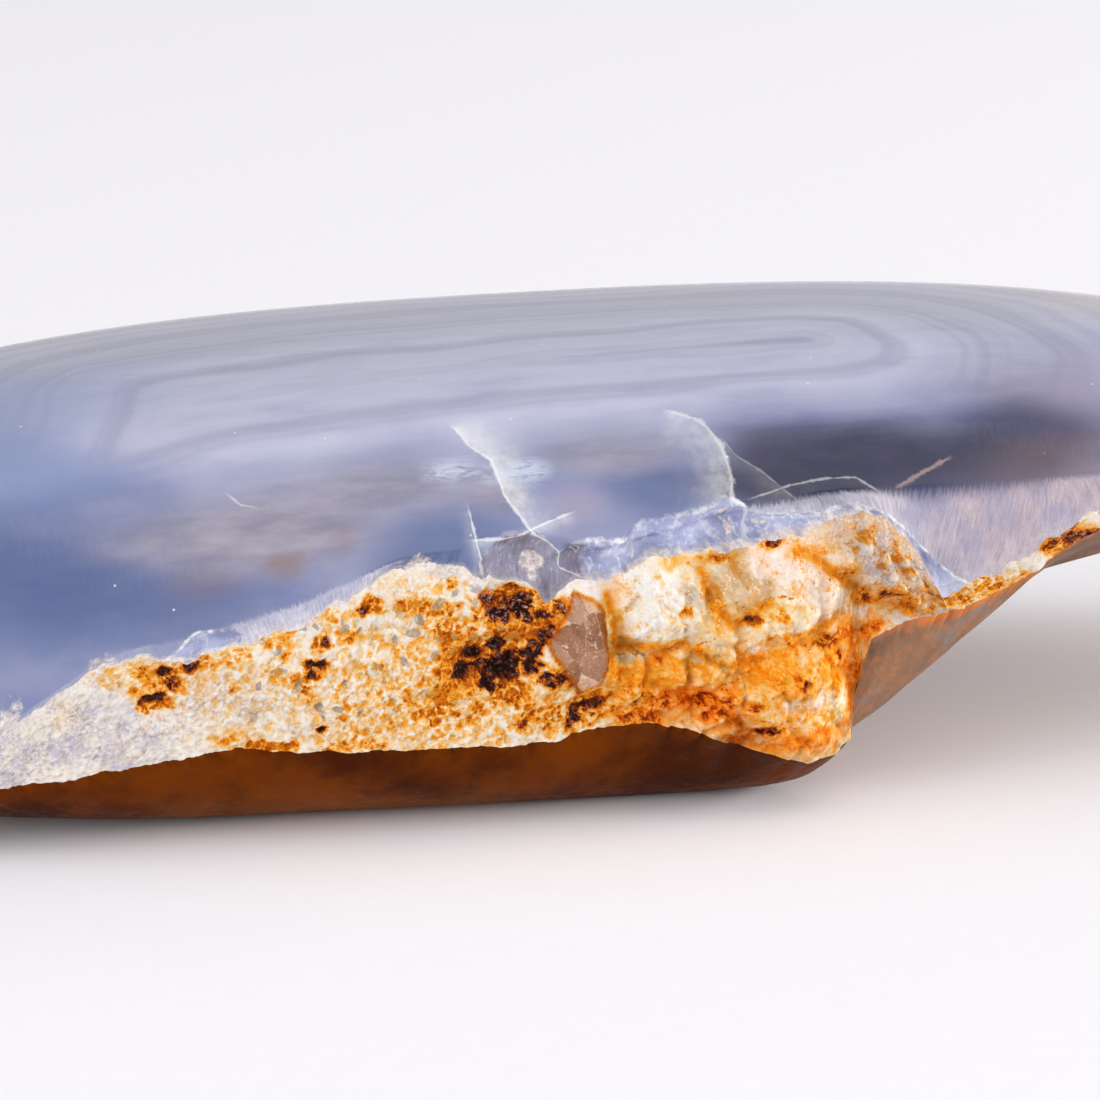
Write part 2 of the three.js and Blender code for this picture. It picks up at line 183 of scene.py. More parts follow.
# Places on the rind wall: (along the rim, height, half width, half height, how strong)
IRON_STAIN = [
    (-9.2, 4.4, 4.2, 2.6, 0.46), (-11.6, 5.0, 3.4, 1.7, 0.28), (-14.4, 5.0, 3.4, 1.6, 0.35),
    (-7.6, 5.5, 1.4, 2.1, 0.8), (-5.8, 6.4, 1.9, 0.8, 0.85), (-5.0, 6.7, 0.6, 0.9, 0.8),
    (-8.4, 4.4, 1.3, 1.2, 0.6), (-7.9, 8.0, 0.35, 0.3, 0.6), (-3.2, 3.9, 1.6, 0.7, 0.65),
    (-4.9, 3.6, 1.4, 0.6, 0.6), (-2.2, 3.55, 1.3, 0.35, 0.7), (-8.6, 8.0, 2.0, 0.6, 0.34),
    (-6.2, 5.4, 1.7, 0.9, 0.8), (-6.0, 4.4, 1.1, 0.55, 0.65), (-5.8, 7.3, 1.0, 0.7, 0.8),
    (-4.7, 6.8, 0.45, 0.5, 0.8), (-4.6, 3.4, 1.0, 0.5, 0.55), (-3.5, 4.1, 0.5, 0.5, 0.8),
    (-3.5, 6.7, 0.25, 0.6, 0.55), (-17.2, 5.4, 1.2, 0.8, 0.6), (-18.4, 5.5, 0.8, 0.5, 0.5),
    (-17.0, 4.7, 0.7, 0.35, 0.85), (-16.1, 5.8, 0.35, 0.35, 0.85), (-17.2, 4.2, 0.8, 0.4, 0.3),
    (-19.7, 4.4, 0.6, 0.5, 0.35), (-18.1, 3.3, 0.6, 0.3, 0.26), (-14.8, 3.5, 0.8, 0.35, 0.5),
    (-13.1, 6.0, 0.35, 0.25, 0.6), (-14.7, 5.2, 0.4, 0.3, 0.55), (-13.1, 5.3, 0.8, 0.4, 0.55),
    (-12.3, 5.6, 0.45, 0.4, 0.9), (-12.4, 4.8, 0.35, 0.5, 0.7), (-12.1, 6.3, 0.4, 0.3, 0.7),
    (-11.3, 6.5, 0.5, 0.4, 0.6), (-10.6, 7.4, 0.7, 0.35, 0.8), (-9.3, 7.3, 0.6, 0.35, 0.75),
    (-10.3, 5.6, 0.3, 0.25, 0.65), (-13.5, 3.2, 1.3, 0.2, 0.85), (-10.9, 3.1, 1.6, 0.2, 0.6),
    (-9.7, 3.6, 0.9, 0.3, 0.5), (-2.8, 6.8, 0.4, 0.5, 0.32), (-0.7, 6.8, 0.22, 0.18, 0.6),
    (0.8, 8.3, 0.7, 0.2, 0.6), (-0.8, 8.3, 0.6, 0.3, 0.5), (-1.5, 5.0, 1.2, 0.5, 0.4),
    (-2.6, 4.8, 0.5, 0.3, 0.5), (-0.3, 5.6, 0.6, 0.2, 0.55), (-1.0, 4.0, 1.7, 0.4, 0.7),
    (0.3, 3.8, 1.2, 0.5, 0.75), (1.2, 2.7, 0.6, 0.35, 0.6), (1.7, 3.0, 0.5, 0.18, 0.8),
    (3.0, 2.4, 1.5, 0.25, 0.5), (2.3, 6.6, 0.35, 0.25, 0.6), (1.5, 6.4, 0.6, 0.18, 0.6),
    (1.6, 5.1, 0.9, 0.4, 0.5), (2.8, 4.6, 0.7, 0.3, 0.6), (4.2, 5.5, 0.7, 0.35, 0.75),
    (4.4, 4.6, 0.5, 0.9, 0.55), (5.2, 4.4, 0.35, 1.4, 0.55), (5.3, 5.7, 1.5, 0.3, 0.65),
    (-0.6, 4.5, 2.7, 1.1, 0.42), (2.6, 4.6, 2.2, 1.0, 0.44), (2.8, 2.9, 2.5, 1.0, 0.38),
    (1.6, 6.4, 2.4, 0.8, 0.2), (3.8, 8.3, 0.8, 0.25, 0.55), (4.8, 7.5, 0.7, 0.3, 0.65),
    (5.9, 6.7, 0.9, 0.3, 0.75), (7.0, 6.4, 0.7, 0.4, 0.6), (2.6, 8.6, 0.5, 0.22, 0.8),
    (7.0, 7.4, 0.22, 0.25, 0.6), (9.8, 6.5, 2.4, 0.6, 0.62), (13.0, 8.0, 2.6, 0.6, 0.6),
    (16.5, 8.9, 3.0, 0.6, 0.5), (-4.7, 4.9, 0.7, 0.9, 0.62), (-4.5, 5.9, 0.5, 0.6, 0.6),
    (-15.3, 6.1, 1.5, 0.45, 0.55), (-13.6, 6.6, 1.1, 0.4, 0.55), (-17.9, 6.0, 1.0, 0.3, 0.45),
    (0.4, 7.0, 0.3, 0.8, 0.5), (2.6, 6.7, 0.8, 0.25, 0.35), (2.9, 5.7, 1.3, 0.35, 0.6),
    (-2.6, 6.2, 0.3, 0.8, 0.45), (-11.8, 7.2, 0.9, 0.35, 0.5),
]
MANGANESE = [
    (-6.8, 7.5, 0.25, 0.3, 0.8), (-6.2, 7.6, 0.5, 0.4, 0.2), (-5.6, 7.2, 0.55, 0.3, 0.75),
    (-5.9, 6.85, 1.0, 0.22, 0.95), (-7.2, 5.7, 0.35, 0.22, 0.75), (-6.3, 5.9, 0.35, 0.22, 0.8),
    (-7.5, 5.2, 0.35, 0.25, 1.0), (-6.2, 5.2, 0.7, 0.4, 1.0), (-5.3, 5.7, 0.45, 0.3, 0.9),
    (-4.9, 6.2, 0.25, 0.35, 0.6), (-5.3, 5.2, 0.35, 0.4, 0.95), (-4.9, 4.9, 0.5, 0.26, 1.0),
    (-6.7, 4.7, 0.35, 0.22, 0.8), (-4.2, 7.15, 0.35, 0.28, 0.75), (-4.0, 3.5, 0.25, 0.5, 0.6),
    (-3.5, 3.9, 0.45, 0.25, 0.5), (-5.6, 3.3, 0.14, 0.25, 0.4), (-7.7, 7.3, 0.3, 0.16, 0.45),
    (-16.85, 5.65, 0.2, 0.22, 0.8), (-17.1, 4.85, 0.4, 0.12, 0.7), (-16.5, 5.2, 0.3, 0.25, 0.55),
    (-16.1, 5.75, 0.16, 0.16, 0.6), (-12.25, 5.72, 0.28, 0.13, 0.65), (-12.4, 5.4, 0.12, 0.12, 0.5),
    (-11.9, 6.4, 0.16, 0.14, 0.5), (-10.8, 7.3, 0.18, 0.12, 0.5), (-14.7, 5.0, 0.24, 0.1, 0.5),
    (-12.0, 3.7, 0.14, 0.12, 0.8), (0.0, 3.4, 0.2, 0.16, 0.6), (-1.4, 5.3, 0.3, 0.12, 0.35),
    (1.8, 2.95, 0.6, 0.08, 0.45), (3.0, 4.4, 0.2, 0.14, 0.65), (4.7, 5.0, 0.1, 0.22, 0.5),
    (6.5, 6.7, 0.35, 0.1, 0.45), (2.8, 8.6, 0.3, 0.12, 0.5), (0.9, 8.2, 0.3, 0.12, 0.35),
    (1.6, 6.5, 0.45, 0.08, 0.35),
]
CHALK = [
    (-20, 3.6, 3.2, 1.8, 1.0), (-17.2, 3.9, 2.6, 1.1, 0.9), (-14.6, 4.6, 1.8, 0.9, 0.6),
    (-8.4, 8.4, 1.6, 0.4, 0.7), (-10.4, 7.7, 1.0, 0.5, 0.5), (-4.9, 7.9, 0.45, 0.5, 0.9),
    (-6.4, 7.6, 0.35, 0.3, 0.8), (-10.8, 6.6, 0.8, 0.5, 0.3), (-18.9, 5.2, 1.2, 0.8, 0.8),
]
FLUFF = [
    (-5.3, 8.4, 0.4, 0.32, 0.9), (-5.35, 8.0, 0.3, 0.3, 0.8), (-5.7, 7.8, 0.24, 0.24, 0.9),
    (-9.1, 8.5, 0.8, 0.35, 1.0), (-8.2, 8.35, 0.45, 0.3, 0.9), (-9.9, 8.3, 0.4, 0.3, 0.7),
    (-6.9, 8.0, 0.4, 0.3, 0.7), (-1.6, 9.2, 0.5, 0.16, 0.9), (-2.0, 8.8, 0.25, 0.3, 0.7),
    (-0.6, 9.45, 0.5, 0.12, 0.7), (1.2, 9.6, 0.3, 0.2, 0.8), (1.4, 9.1, 0.14, 0.5, 0.7),
    (2.5, 9.2, 0.5, 0.14, 0.6), (7.5, 7.6, 0.4, 0.9, 0.6), (-19.0, 6.0, 1.2, 0.3, 0.6),
    (-13.2, 6.9, 1.2, 0.25, 0.5), (-21.5, 4.2, 1.6, 0.5, 0.8),
]
# Where the wall has flat grey flakes
FLAKY = [(-11.5, 5.4, 4.5, 2.2, 1.0), (-7.5, 6.8, 3, 1.4, 0.9), (20, 8, 6, 2, 0.6)]
# Grains of the lump by place: (along the rim, height, half width, half height, colour)
WHITE_QUARTZ = (1.0, 0.96, 0.9)
CREAM = (0.93, 0.76, 0.5)
TAN = (0.68, 0.46, 0.23)
PINK_FELDSPAR = (1.0, 0.8, 0.7)
SMOKY_GREY = (0.6, 0.47, 0.37)
YELLOW_CLAY = (1.0, 0.62, 0.05)
ORANGE_CLAY = (0.96, 0.46, 0.08)
RED_BROWN = (0.55, 0.22, 0.08)
LUMP_GRAINS = [
    (-1.4, 6.9, 1.1, 1.1, WHITE_QUARTZ), (-1.8, 6.0, 0.9, 0.4, WHITE_QUARTZ),
    (-2.5, 5.7, 0.5, 0.3, SMOKY_GREY), (-2.9, 7.5, 0.8, 0.4, PINK_FELDSPAR),
    (-0.4, 7.3, 0.4, 0.35, SMOKY_GREY), (0.1, 7.8, 0.6, 0.3, CREAM), (1.1, 7.5, 0.8, 0.8, TAN),
    (0.2, 6.6, 0.5, 0.35, CREAM), (2.6, 8.0, 0.6, 0.6, PINK_FELDSPAR), (3.8, 7.3, 0.8, 0.8, PINK_FELDSPAR),
    (4.7, 6.8, 0.35, 0.55, SMOKY_GREY), (5.6, 6.5, 0.5, 0.4, PINK_FELDSPAR),
    (2.4, 6.2, 0.8, 0.8, WHITE_QUARTZ), (-1.6, 5.1, 1.1, 0.5, YELLOW_CLAY), (-1.1, 4.5, 0.3, 0.22, CREAM),
    (-1.9, 4.5, 0.3, 0.22, CREAM), (0.1, 5.2, 0.4, 0.3, SMOKY_GREY), (0.6, 5.6, 0.5, 0.35, CREAM),
    (0.3, 4.7, 0.5, 0.3, CREAM), (1.6, 5.5, 0.5, 0.4, PINK_FELDSPAR), (2.3, 4.6, 0.8, 0.4, YELLOW_CLAY),
    (3.5, 5.0, 0.7, 0.4, CREAM), (4.3, 4.6, 0.4, 0.5, YELLOW_CLAY), (-2.6, 4.1, 0.6, 0.3, CREAM),
    (-1.9, 3.7, 0.4, 0.2, PINK_FELDSPAR), (-0.1, 3.8, 1.4, 0.45, ORANGE_CLAY), (1.4, 3.9, 0.5, 0.4, CREAM),
    (3.0, 3.7, 1.2, 0.6, PINK_FELDSPAR), (3.9, 3.3, 0.7, 0.5, WHITE_QUARTZ),
    (2.4, 3.7, 0.28, 0.28, SMOKY_GREY), (3.0, 2.4, 1.5, 0.3, ORANGE_CLAY),
    (5.2, 4.6, 0.35, 1.4, ORANGE_CLAY), (1.2, 2.7, 0.6, 0.35, RED_BROWN), (5.4, 5.6, 0.8, 0.3, ORANGE_CLAY),
]
# Thin dark seams between the grains of the lump
SEAMS = [
    [(0.5, 7.4), (0.3, 7.0), (0.1, 6.7)], [(1.3, 6.9), (1.5, 6.5), (2.0, 6.8), (2.6, 7.1), (2.9, 7.0)],
    [(-0.6, 7.4), (-0.5, 7.0), (-0.6, 6.7)], [(-2.9, 5.5), (-1.8, 5.5), (-0.3, 5.7), (0.2, 6.0)],
    [(0.9, 6.3), (1.4, 6.5)], [(2.0, 5.5), (2.8, 5.2), (3.6, 5.3), (4.2, 5.7)],
    [(0.4, 4.4), (1.0, 4.5), (1.5, 4.9)], [(-0.4, 4.5), (0.2, 4.3), (0.9, 4.3)],
    [(1.6, 3.4), (2.2, 3.1), (2.8, 3.0)], [(3.0, 5.0), (3.4, 4.6), (3.9, 4.5)],
    [(0.2, 3.5), (0.7, 3.3), (1.0, 3.0)], [(-3.0, 4.7), (-2.1, 4.9), (-1.6, 4.6), (-0.9, 4.8)],
    [(3.1, 8.2), (3.9, 7.7), (4.6, 7.2), (5.4, 6.8)],
]
# Round beads on the crust at the right: (along the rim, height, radius)
BEADS = [
    (7.15, 7.35, 0.22), (7.45, 6.9, 0.2), (7.3, 6.45, 0.22), (6.9, 7.75, 0.18), (6.7, 6.9, 0.2),
    (6.2, 7.9, 0.22), (6.45, 7.35, 0.16), (7.0, 6.0, 0.18), (5.6, 8.3, 0.2), (7.6, 6.2, 0.14),
]
CRUST_FROM = 4.3
CRUST_TO = 8.4

# The top of the chipped glassy strip on the bevel
CHIP_TOP = [
    (-24, 0), (-16.6, 6.2), (-16.0, 6.75), (-14.9, 6.9), (-14.2, 6.4), (-13.6, 0), (-7.5, 0), (-7.1, 8.7),
    (-6.4, 9.3), (-5.3, 9.35), (-4.4, 8.6), (-4.0, 8.9), (-3.0, 9.0), (-2.3, 8.9), (-1.9, 9.3), (-1.1, 9.5),
    (0.1, 9.55), (1.1, 9.8), (1.4, 10.05), (1.9, 9.8), (2.3, 9.4), (3.6, 9.35), (4.4, 9.35), (5.1, 9.55),
    (5.9, 9.55), (6.8, 9.1), (7.5, 8.6), (8.3, 7.7), (9.5, 6.6), (11, 0),
]

# The lace on the dome: bands round a middle line, angular at the left and round at the right
LACE_LEFT = (-14.6, -6.6)
LACE_RIGHT = (6.0, -5.6)
LACE_LEFT_LEAN = (-0.829, 0.559)
LACE_CORNER = 0.5
# How high on the front of the dome the lace begins: (distance along the stone, height)
LACE_EDGE = [
    (-26, 12.4), (-21, 12.2), (-17, 11.4), (-12, 11.2), (-7, 11.6), (3, 12.3), (8, 12.5), (12, 12.6),
    (17, 12.7), (23, 12.2),
]

# Tones of the dome: (centre, half sizes, strength), all round the stone
TONES = {
    "navy": [
        ((4.6, -11.3, 10.2), (3.6, 0.8, 0.8), 1.0), ((10.5, -10.6, 10.5), (4.5, 1.4, 1.0), 0.8),
        ((6.4, -10.9, 10.9), (6.0, 1.9, 1.6), 1.0), ((3.0, -10.7, 11.2), (2.0, 1.4, 1.2), 0.9),
        ((11.5, -10.0, 11.0), (4.0, 1.8, 1.4), 0.7), ((24, 3, 11), (5, 5, 2.2), 0.5),
        ((4.0, -11.0, 10.5), (2.4, 1.2, 1.0), 1.0), ((-9, 10.6, 10.8), (7, 2, 1.7), 0.8),
        ((12, 11.2, 9.6), (6, 2, 1.6), 0.6),
    ],
    "deep_blue": [
        ((-20.5, -10.2, 8.6), (7.0, 3.0, 2.4), 0.85), ((-17, -11, 7.8), (4, 2, 1.8), 0.5),
        ((-8.2, -11.5, 9.1), (2.6, 1.6, 1.3), 0.8), ((-0.6, -11.0, 10.2), (2.3, 1.2, 1.1), 0.85),
        ((-29, 0, 8), (3, 8, 4), 0.8), ((-20, 10, 8), (7, 3, 2.4), 0.8), ((2, 11.8, 8.4), (7, 2, 1.8), 0.7),
        ((30, -2, 7.5), (3, 7, 3), 0.5),
    ],
    "smoke": [
        ((-13.5, -10.7, 9.6), (4.4, 1.8, 1.3), 1.0), ((-9.5, -10.6, 10.8), (3.6, 1.6, 1.0), 0.8),
        ((-16.5, -10.4, 9.4), (2.8, 1.6, 0.9), 0.7), ((-2.0, -10.2, 11.4), (2.6, 1.2, 0.7), 0.75),
        ((-5.9, -10.9, 10.4), (1.0, 0.8, 0.6), 0.7), ((16, -9.6, 9.6), (4, 2, 1.6), 0.7),
        ((14, -7.4, 12.3), (5, 2.5, 1.1), 0.85), ((6, 11, 10.4), (5, 2, 1.4), 0.7),
        ((-25, 6, 9), (4, 4, 2), 0.6),
    ],
    "brown": [
        ((-12.9, -11.3, 8.75), (0.75, 0.6, 0.42), 0.75), ((-11.0, -11.1, 9.35), (0.5, 0.5, 0.3), 0.4),
        ((-15.4, -11.0, 8.3), (1.6, 0.8, 0.5), 0.35), ((-5.6, -10.1, 11.1), (0.9, 0.5, 0.35), 0.3),
        ((13, -10.4, 10.2), (4, 1.5, 0.9), 0.3), ((20, 9, 9.5), (3, 2, 1.2), 0.3),
    ],
    "lilac": [
        ((15.5, -7.6, 12.5), (2.6, 2.6, 1.5), 0.7), ((15.5, -8.0, 11.6), (5, 3.5, 1.6), 0.6),
        ((-3.6, -11.3, 9.9), (1.2, 0.9, 0.8), 0.8), ((0, 1, 14.1), (22, 4, 0.8), 0.55),
        ((20, -8, 10.5), (6, 4, 2.5), 0.7), ((5, 8.5, 12.6), (9, 2.5, 1.0), 0.5),
    ],
    "warm_cream": [
        ((21, 0.5, 13.0), (6, 5, 1.3), 0.8), ((29, 3, 10.5), (4, 6, 3), 0.5),
    ],
    "splash": [
        ((-7.3, -10.3, 11.1), (1.0, 0.6, 0.32), 0.9), ((-5.0, -10.55, 11.0), (0.8, 0.6, 0.34), 0.9),
        ((-6.0, -10.5, 10.95), (0.5, 0.5, 0.3), 0.6),
    ],
    "pale_blue": [
        ((-21, -7.6, 11.6), (4.5, 3.5, 1.4), 0.8), ((-20, -4, 13.2), (5, 4, 1.6), 0.7),
        ((-21, -10.8, 5.6), (7, 2, 2.0), 0.15), ((-6, 9.5, 12.4), (5, 3, 1.6), 0.5),
    ],
}

# Cracks in the polish: (half width of the line, how strongly it shows, corners)
CRACKS = {
    "crack_star": (0.034, 0.44, [
        (-6.81, -9.21, 12.16), (-6.51, -9.79, 11.72), (-5.99, -10.19, 11.35), (-5.77, -11.01, 10.33),
        (-5.13, -11.53, 9.36),
    ]),
    "crack_foot": (0.028, 0.5, [
        (-3.95, -11.4, 9.73), (-4.53, -11.47, 9.56), (-5.13, -11.53, 9.36), (-5.64, -11.6, 9.16),
        (-6.81, -11.55, 9.16),
    ]),
    "crack_lower": (0.03, 0.5, [(-5.13, -11.53, 9.36), (-4.41, -11.81, 8.68), (-3.67, -12.03, 7.95)]),
    "crack_left": (0.026, 0.5, [(-6.96, -11.21, 9.88), (-6.84, -11.66, 8.87), (-6.77, -11.93, 7.98)]),
    "crack_right": (0.05, 0.34, [
        (0.29, -9.17, 12.3), (1.1, -9.5, 12.06), (1.56, -10.27, 11.38), (1.63, -11.03, 10.41),
        (1.53, -11.32, 9.9), (1.89, -11.51, 9.54), (1.66, -11.9, 8.52),
    ]),
    "crack_faint": (0.02, 0.15, [
        (1.7, -10.2, 11.4), (1.9, -10.53, 11.09), (2.61, -10.88, 10.64), (3.45, -11.32, 9.88),
    ]),
    "crack_tan": (0.04, 0.5, [(8.86, -10.7, 10.54), (8.29, -10.87, 10.35), (7.17, -11.18, 9.94)]),
    "crack_islet": (0.025, 0.28, [
        (2.3, -11.35, 9.9), (3.5, -11.17, 10.16), (4.7, -11.1, 10.3), (5.7, -11.1, 10.28), (6.3, -11.3, 9.9),
    ]),
    "crack_curl": (0.02, 0.3, [(-14.19, -10.04, 10.64), (-13.99, -10.21, 10.45), (-13.79, -10.28, 10.42)]),
}
CRACK_FADE = 0.3
# Veils beside the cracks: (how far they reach, on which side, how strong)
VEILS = {
    "crack_star": (1.9, 1, 0.6), "crack_right": (2.6, -1, 0.38), "crack_faint": (1.1, -1, 0.1),
    "crack_islet": (0.9, -1, 0.04), "crack_foot": (0.8, 1, 0.35), "crack_left": (0.7, -1, 0.25),
}

FOLD = 30.0  # beyond this distance along the rim, patterns run back towards the middle, so that they meet
HOLLOW_BLUR = 24  # rounds of averaging with the neighbours, for the level that hollows are measured from

# How iron tints the rind: (amount, tint)
IRON_TINTS = [
    (0.0, (1, 1, 1)), (0.14, (1, 0.77, 0.46)), (0.3, (1.0, 0.52, 0.07)), (0.48, (0.95, 0.31, 0.008)),
    (0.64, (0.48, 0.095, 0.004)), (0.8, (0.13, 0.024, 0.008)), (0.95, (0.022, 0.008, 0.008)),
]
RIND_TONE = (0.79, 0.79, 0.79, 1)
PLAIN_TONE = (1, 1, 1, 1)
FLOOR_COLOUR = (0.87, 0.86, 0.89, 1)
FLOOR_GRAIN = (0.9, 0.89, 0.915, 1)
FLOOR_REACH = 2.0  # in metres, as all of the lamps' and the floor's sizes

# Lamps: (power in watts, width, height, place, whether the stone mirrors it)
LAMPS = {
    "front_right": (3.6, 0.6, 0.35, (0.6, -0.5, 0.2), False),
    "right": (3.3, 0.45, 0.2, (0.6, 0.02, 0.11), False),
    "left": (3.2, 0.6, 0.2, (-0.6, -0.25, 0.1), False),
    "front": (1.8, 0.8, 0.8, (0.2, -0.5, 0.6), True),
}
LAMPS_AIM_AT = (0, 0, 0.006)
SKY_COLOUR = (1.0, 0.985, 1.0, 1)
SKY_STRENGTH = 0.57

# The camera: where it looks, from which side and how high, how far away, and the width seen at that distance
CAMERA_TARGET = (-4.25, -10.80, 8.53)
CAMERA_AZIMUTH = -18
CAMERA_ELEVATION = 12
CAMERA_DISTANCE = 200
SEEN_WIDTH = 34
SENSOR = 36


def measure_outline():
    """Corners of the outline from the middle of the back round by the left, and how far along they are."""
    turn = math.pi / 2 + 2 * math.pi * np.arange(OUTLINE_STEPS + 1) / OUTLINE_STEPS
    x, y = (np.sign(v) * np.abs(v) ** (2 / PLAN_POWER) for v in (np.cos(turn), np.sin(turn)))
    x, y = HALF_LENGTH * x, HALF_WIDTH * y
    along = np.concatenate([[0], np.cumsum(np.hypot(np.diff(x), np.diff(y)))])
    return x, y, along - along[-1] / 2


OUTLINE_X, OUTLINE_Y, OUTLINE_ALONG = measure_outline()
RIM_LENGTH = 2 * OUTLINE_ALONG[-1]


def outline_at(along):
    """Point and outward direction of the outline at distances along the rim."""
    near = RIM_LENGTH / OUTLINE_STEPS
    (x0, x, x1), (y0, y, y1) = (
        [np.interp(along + step, OUTLINE_ALONG, corners) for step in (-near, 0, near)]
        for corners in (OUTLINE_X, OUTLINE_Y)
    )
    length = np.hypot(x1 - x0, y1 - y0)
    return x, y, (y1 - y0) / length, (x0 - x1) / length


def read_pairs(pairs, along):
    places, values = zip(*pairs)
    return np.interp(along, places, values, period=RIM_LENGTH)


def read_smooth(pairs, along, stretch):
    """The mean of the pairs over a stretch of the rim."""
    shifts = stretch * (np.arange(9) / 8 - 0.5)
    return sum(read_pairs(pairs, along + shift) for shift in shifts) / len(shifts)


def dome_height(reach):
    return GIRDLE_HEIGHT + DOME_RISE * (1 - np.clip(reach, 0, 1) ** DOME_POWER) ** (1 / DOME_POWER)


def dome_reach(height):
    share = np.clip((height - GIRDLE_HEIGHT) / DOME_RISE, 0, 1)
    return (1 - share**DOME_POWER) ** (1 / DOME_POWER)


def ease(t):
    return t * t * (3 - 2 * t)


def step_up(low, high, value):
    """0 below low, 1 above high, smooth between."""
    return ease(np.clip((value - low) / (high - low), 0, 1))


def stretch_of(value, start, full, fading, end):
    """1 from full to fading, and smoothly down to 0 at start and end."""
    return step_up(start, full, value) * (1 - step_up(fading, end, value))


def corner_value(i, j, k):
    """A repeatable value from 0 to 1 for each corner of a grid."""
    bits = 0xFFFFFFFF
    h = ((i * 374761393) & bits) ^ ((j * 668265263) & bits) ^ ((k * 1274126177) & bits)
    h = ((h ^ (h >> 13)) * 1103515245) & bits
    return (h ^ (h >> 16)) / bits


def noise(x, y, z):
    """Smooth noise from -1 to 1."""
    x, y, z = np.broadcast_arrays(x, y, z)
    i, j, k = (np.floor(v).astype(np.int64) for v in (x, y, z))
    u, v, w = ease(x - i), ease(y - j), ease(z - k)

    def between(a, b, t):
        return a + (b - a) * t

    def edge(dj, dk):
        return between(corner_value(i, j + dj, k + dk), corner_value(i + 1, j + dj, k + dk), u)

    return 2 * between(between(edge(0, 0), edge(1, 0), v), between(edge(0, 1), edge(1, 1), v), w) - 1


def rough_noise(x, y, z, octaves):
    """Noise with finer and fainter noise added to it."""
    total = 0
    for octave in range(octaves):
        scale = 2**octave
        total = total + noise(x * scale + 7 * octave, y * scale + 13 * octave, z * scale) / scale
    return total


def patchy(along, height, size, salt, octaves):
    """Rough noise on the rim, whose broadest patches have a size in mm."""
    return rough_noise(along / size, height / size, salt, octaves)


def cells(x, y, salt=0):
    """The nearest point of a jittered grid: its distance, the next one's, its corner, and the way from it."""
    nearest = np.full(x.shape, FAR)
    second = nearest
    found = (0, 0, FAR, FAR)
    for di in (-1, 0, 1):
        for dj in (-1, 0, 1):
            i = np.floor(x).astype(np.int64) + di
            j = np.floor(y).astype(np.int64) + dj
            dx = x - i - corner_value(i, j, 11 + salt)
            dy = y - j - corner_value(i, j, 12 + salt)
            distance = np.hypot(dx, dy)
            closer = distance < nearest
            second = np.where(closer, nearest, np.minimum(second, distance))
            nearest = np.where(closer, distance, nearest)
            found = [np.where(closer, new, old) for new, old in zip((i, j, dx, dy), found)]
    return nearest, second, *found


def grains(along, height, spacing, salt=0):
    """Flat-faced grains with grooves between them."""
    nearest, second, i, j, dx, dy = cells(along / spacing, height / spacing, salt)
    facet = corner_value(i, j, 13 + salt)
    for k, way in ((14, dx), (15, dy)):
        facet = facet + GRAIN_TILT * (corner_value(i, j, k + salt) - 0.5) * way
    raised = np.minimum(1, (second - nearest) / GROOVE_WIDTH)
    return facet * raised - GROOVE_DEPTH * (1 - raised)


def distance_to(corners, along, height):
    """Distance to a run of corners."""
    least = np.full(np.shape(along), FAR)
    for (ax, ay), (bx, by) in zip(corners, corners[1:]):
        dx, dy = bx - ax, by - ay
        t = np.clip(((along - ax) * dx + (height - ay) * dy) / (dx * dx + dy * dy), 0, 1)
        least = np.minimum(least, np.hypot(along - ax - t * dx, height - ay - t * dy))
    return least


def in_lump(along):
    return np.clip(np.minimum(along - LUMP_FROM, LUMP_TO - along) / LUMP_FADE, 0, 1)


def grain_surface(along, height):
    dx, dz = along - GRAIN_AT[0], height - GRAIN_AT[1]
    return np.min([reach - lean * dx - rise * dz for reach, lean, rise in GRAIN_FACES], axis=0)


def relief(along, height):
    """How far the rind stands out from its plain wall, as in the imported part."""
    out = np.zeros(np.shape(along))
    for at, up, half_width, half_height, stands in SWELLS:
        d = ((along - at) / half_width) ** 2 + ((height - up) / half_height) ** 2
        out = out + np.where(d < 1, stands * (1 - d * d) ** 2, 0)
    out = out + KNOB_RELIEF * noise(along / KNOB_SPACING + 40, height / KNOB_SPACING, 3)
    out = out + 0.5 * KNOB_RELIEF * noise(2 * along / KNOB_SPACING + 90, 2 * height / KNOB_SPACING, 7)
    out = out + GRAIN_RELIEF * in_lump(along) * grains(along, height, GRAIN_SPACING)
    for depth, half_width, corners in CLEFTS:
        out = out - depth * np.exp(-((distance_to(corners, along, height) / half_width) ** 2))
    return np.maximum(out, grain_surface(along, height))


def blobs(places, along, height, ragged=0.0):
    """The strongest of several soft patches, with edges made ragged by noise."""
    edge = ragged * (patchy(along, height, 0.5, 21, 2) + 0.8 * patchy(along, height, 0.17, 22, 2))
    amount = np.zeros(np.shape(along))
    for at, up, half_width, half_height, strength in places:
        d = np.hypot((along - at) / half_width, (height - up) / half_height)
        amount = np.maximum(amount, strength * (1 - step_up(PATCH_CORE, PATCH_END, d + edge)))
    return amount


def inside(corners, along, height):
    """Distance inward from the sides of a convex shape whose corners go clockwise; negative outside."""
    least = np.full(np.shape(along), FAR)
    for (ax, ay), (bx, by) in zip(corners, corners[1:] + corners[:1]):
        dx, dy = bx - ax, by - ay
        least = np.minimum(least, ((along - ax) * dy - (height - ay) * dx) / math.hypot(dx, dy))
    return least


def pits(along, height, spacing, share, salt):
    """Separate rounded pits, of many sizes, as depths from 0 to 1."""
    nearest, _, i, j, _, _ = cells(along / spacing, height / spacing, salt)
    size = corner_value(i, j, 31 + salt)
    radius = np.where(size > 1 - share, 0.2 + 0.38 * size, 0)
    return step_up(0, 0.22, radius - nearest)


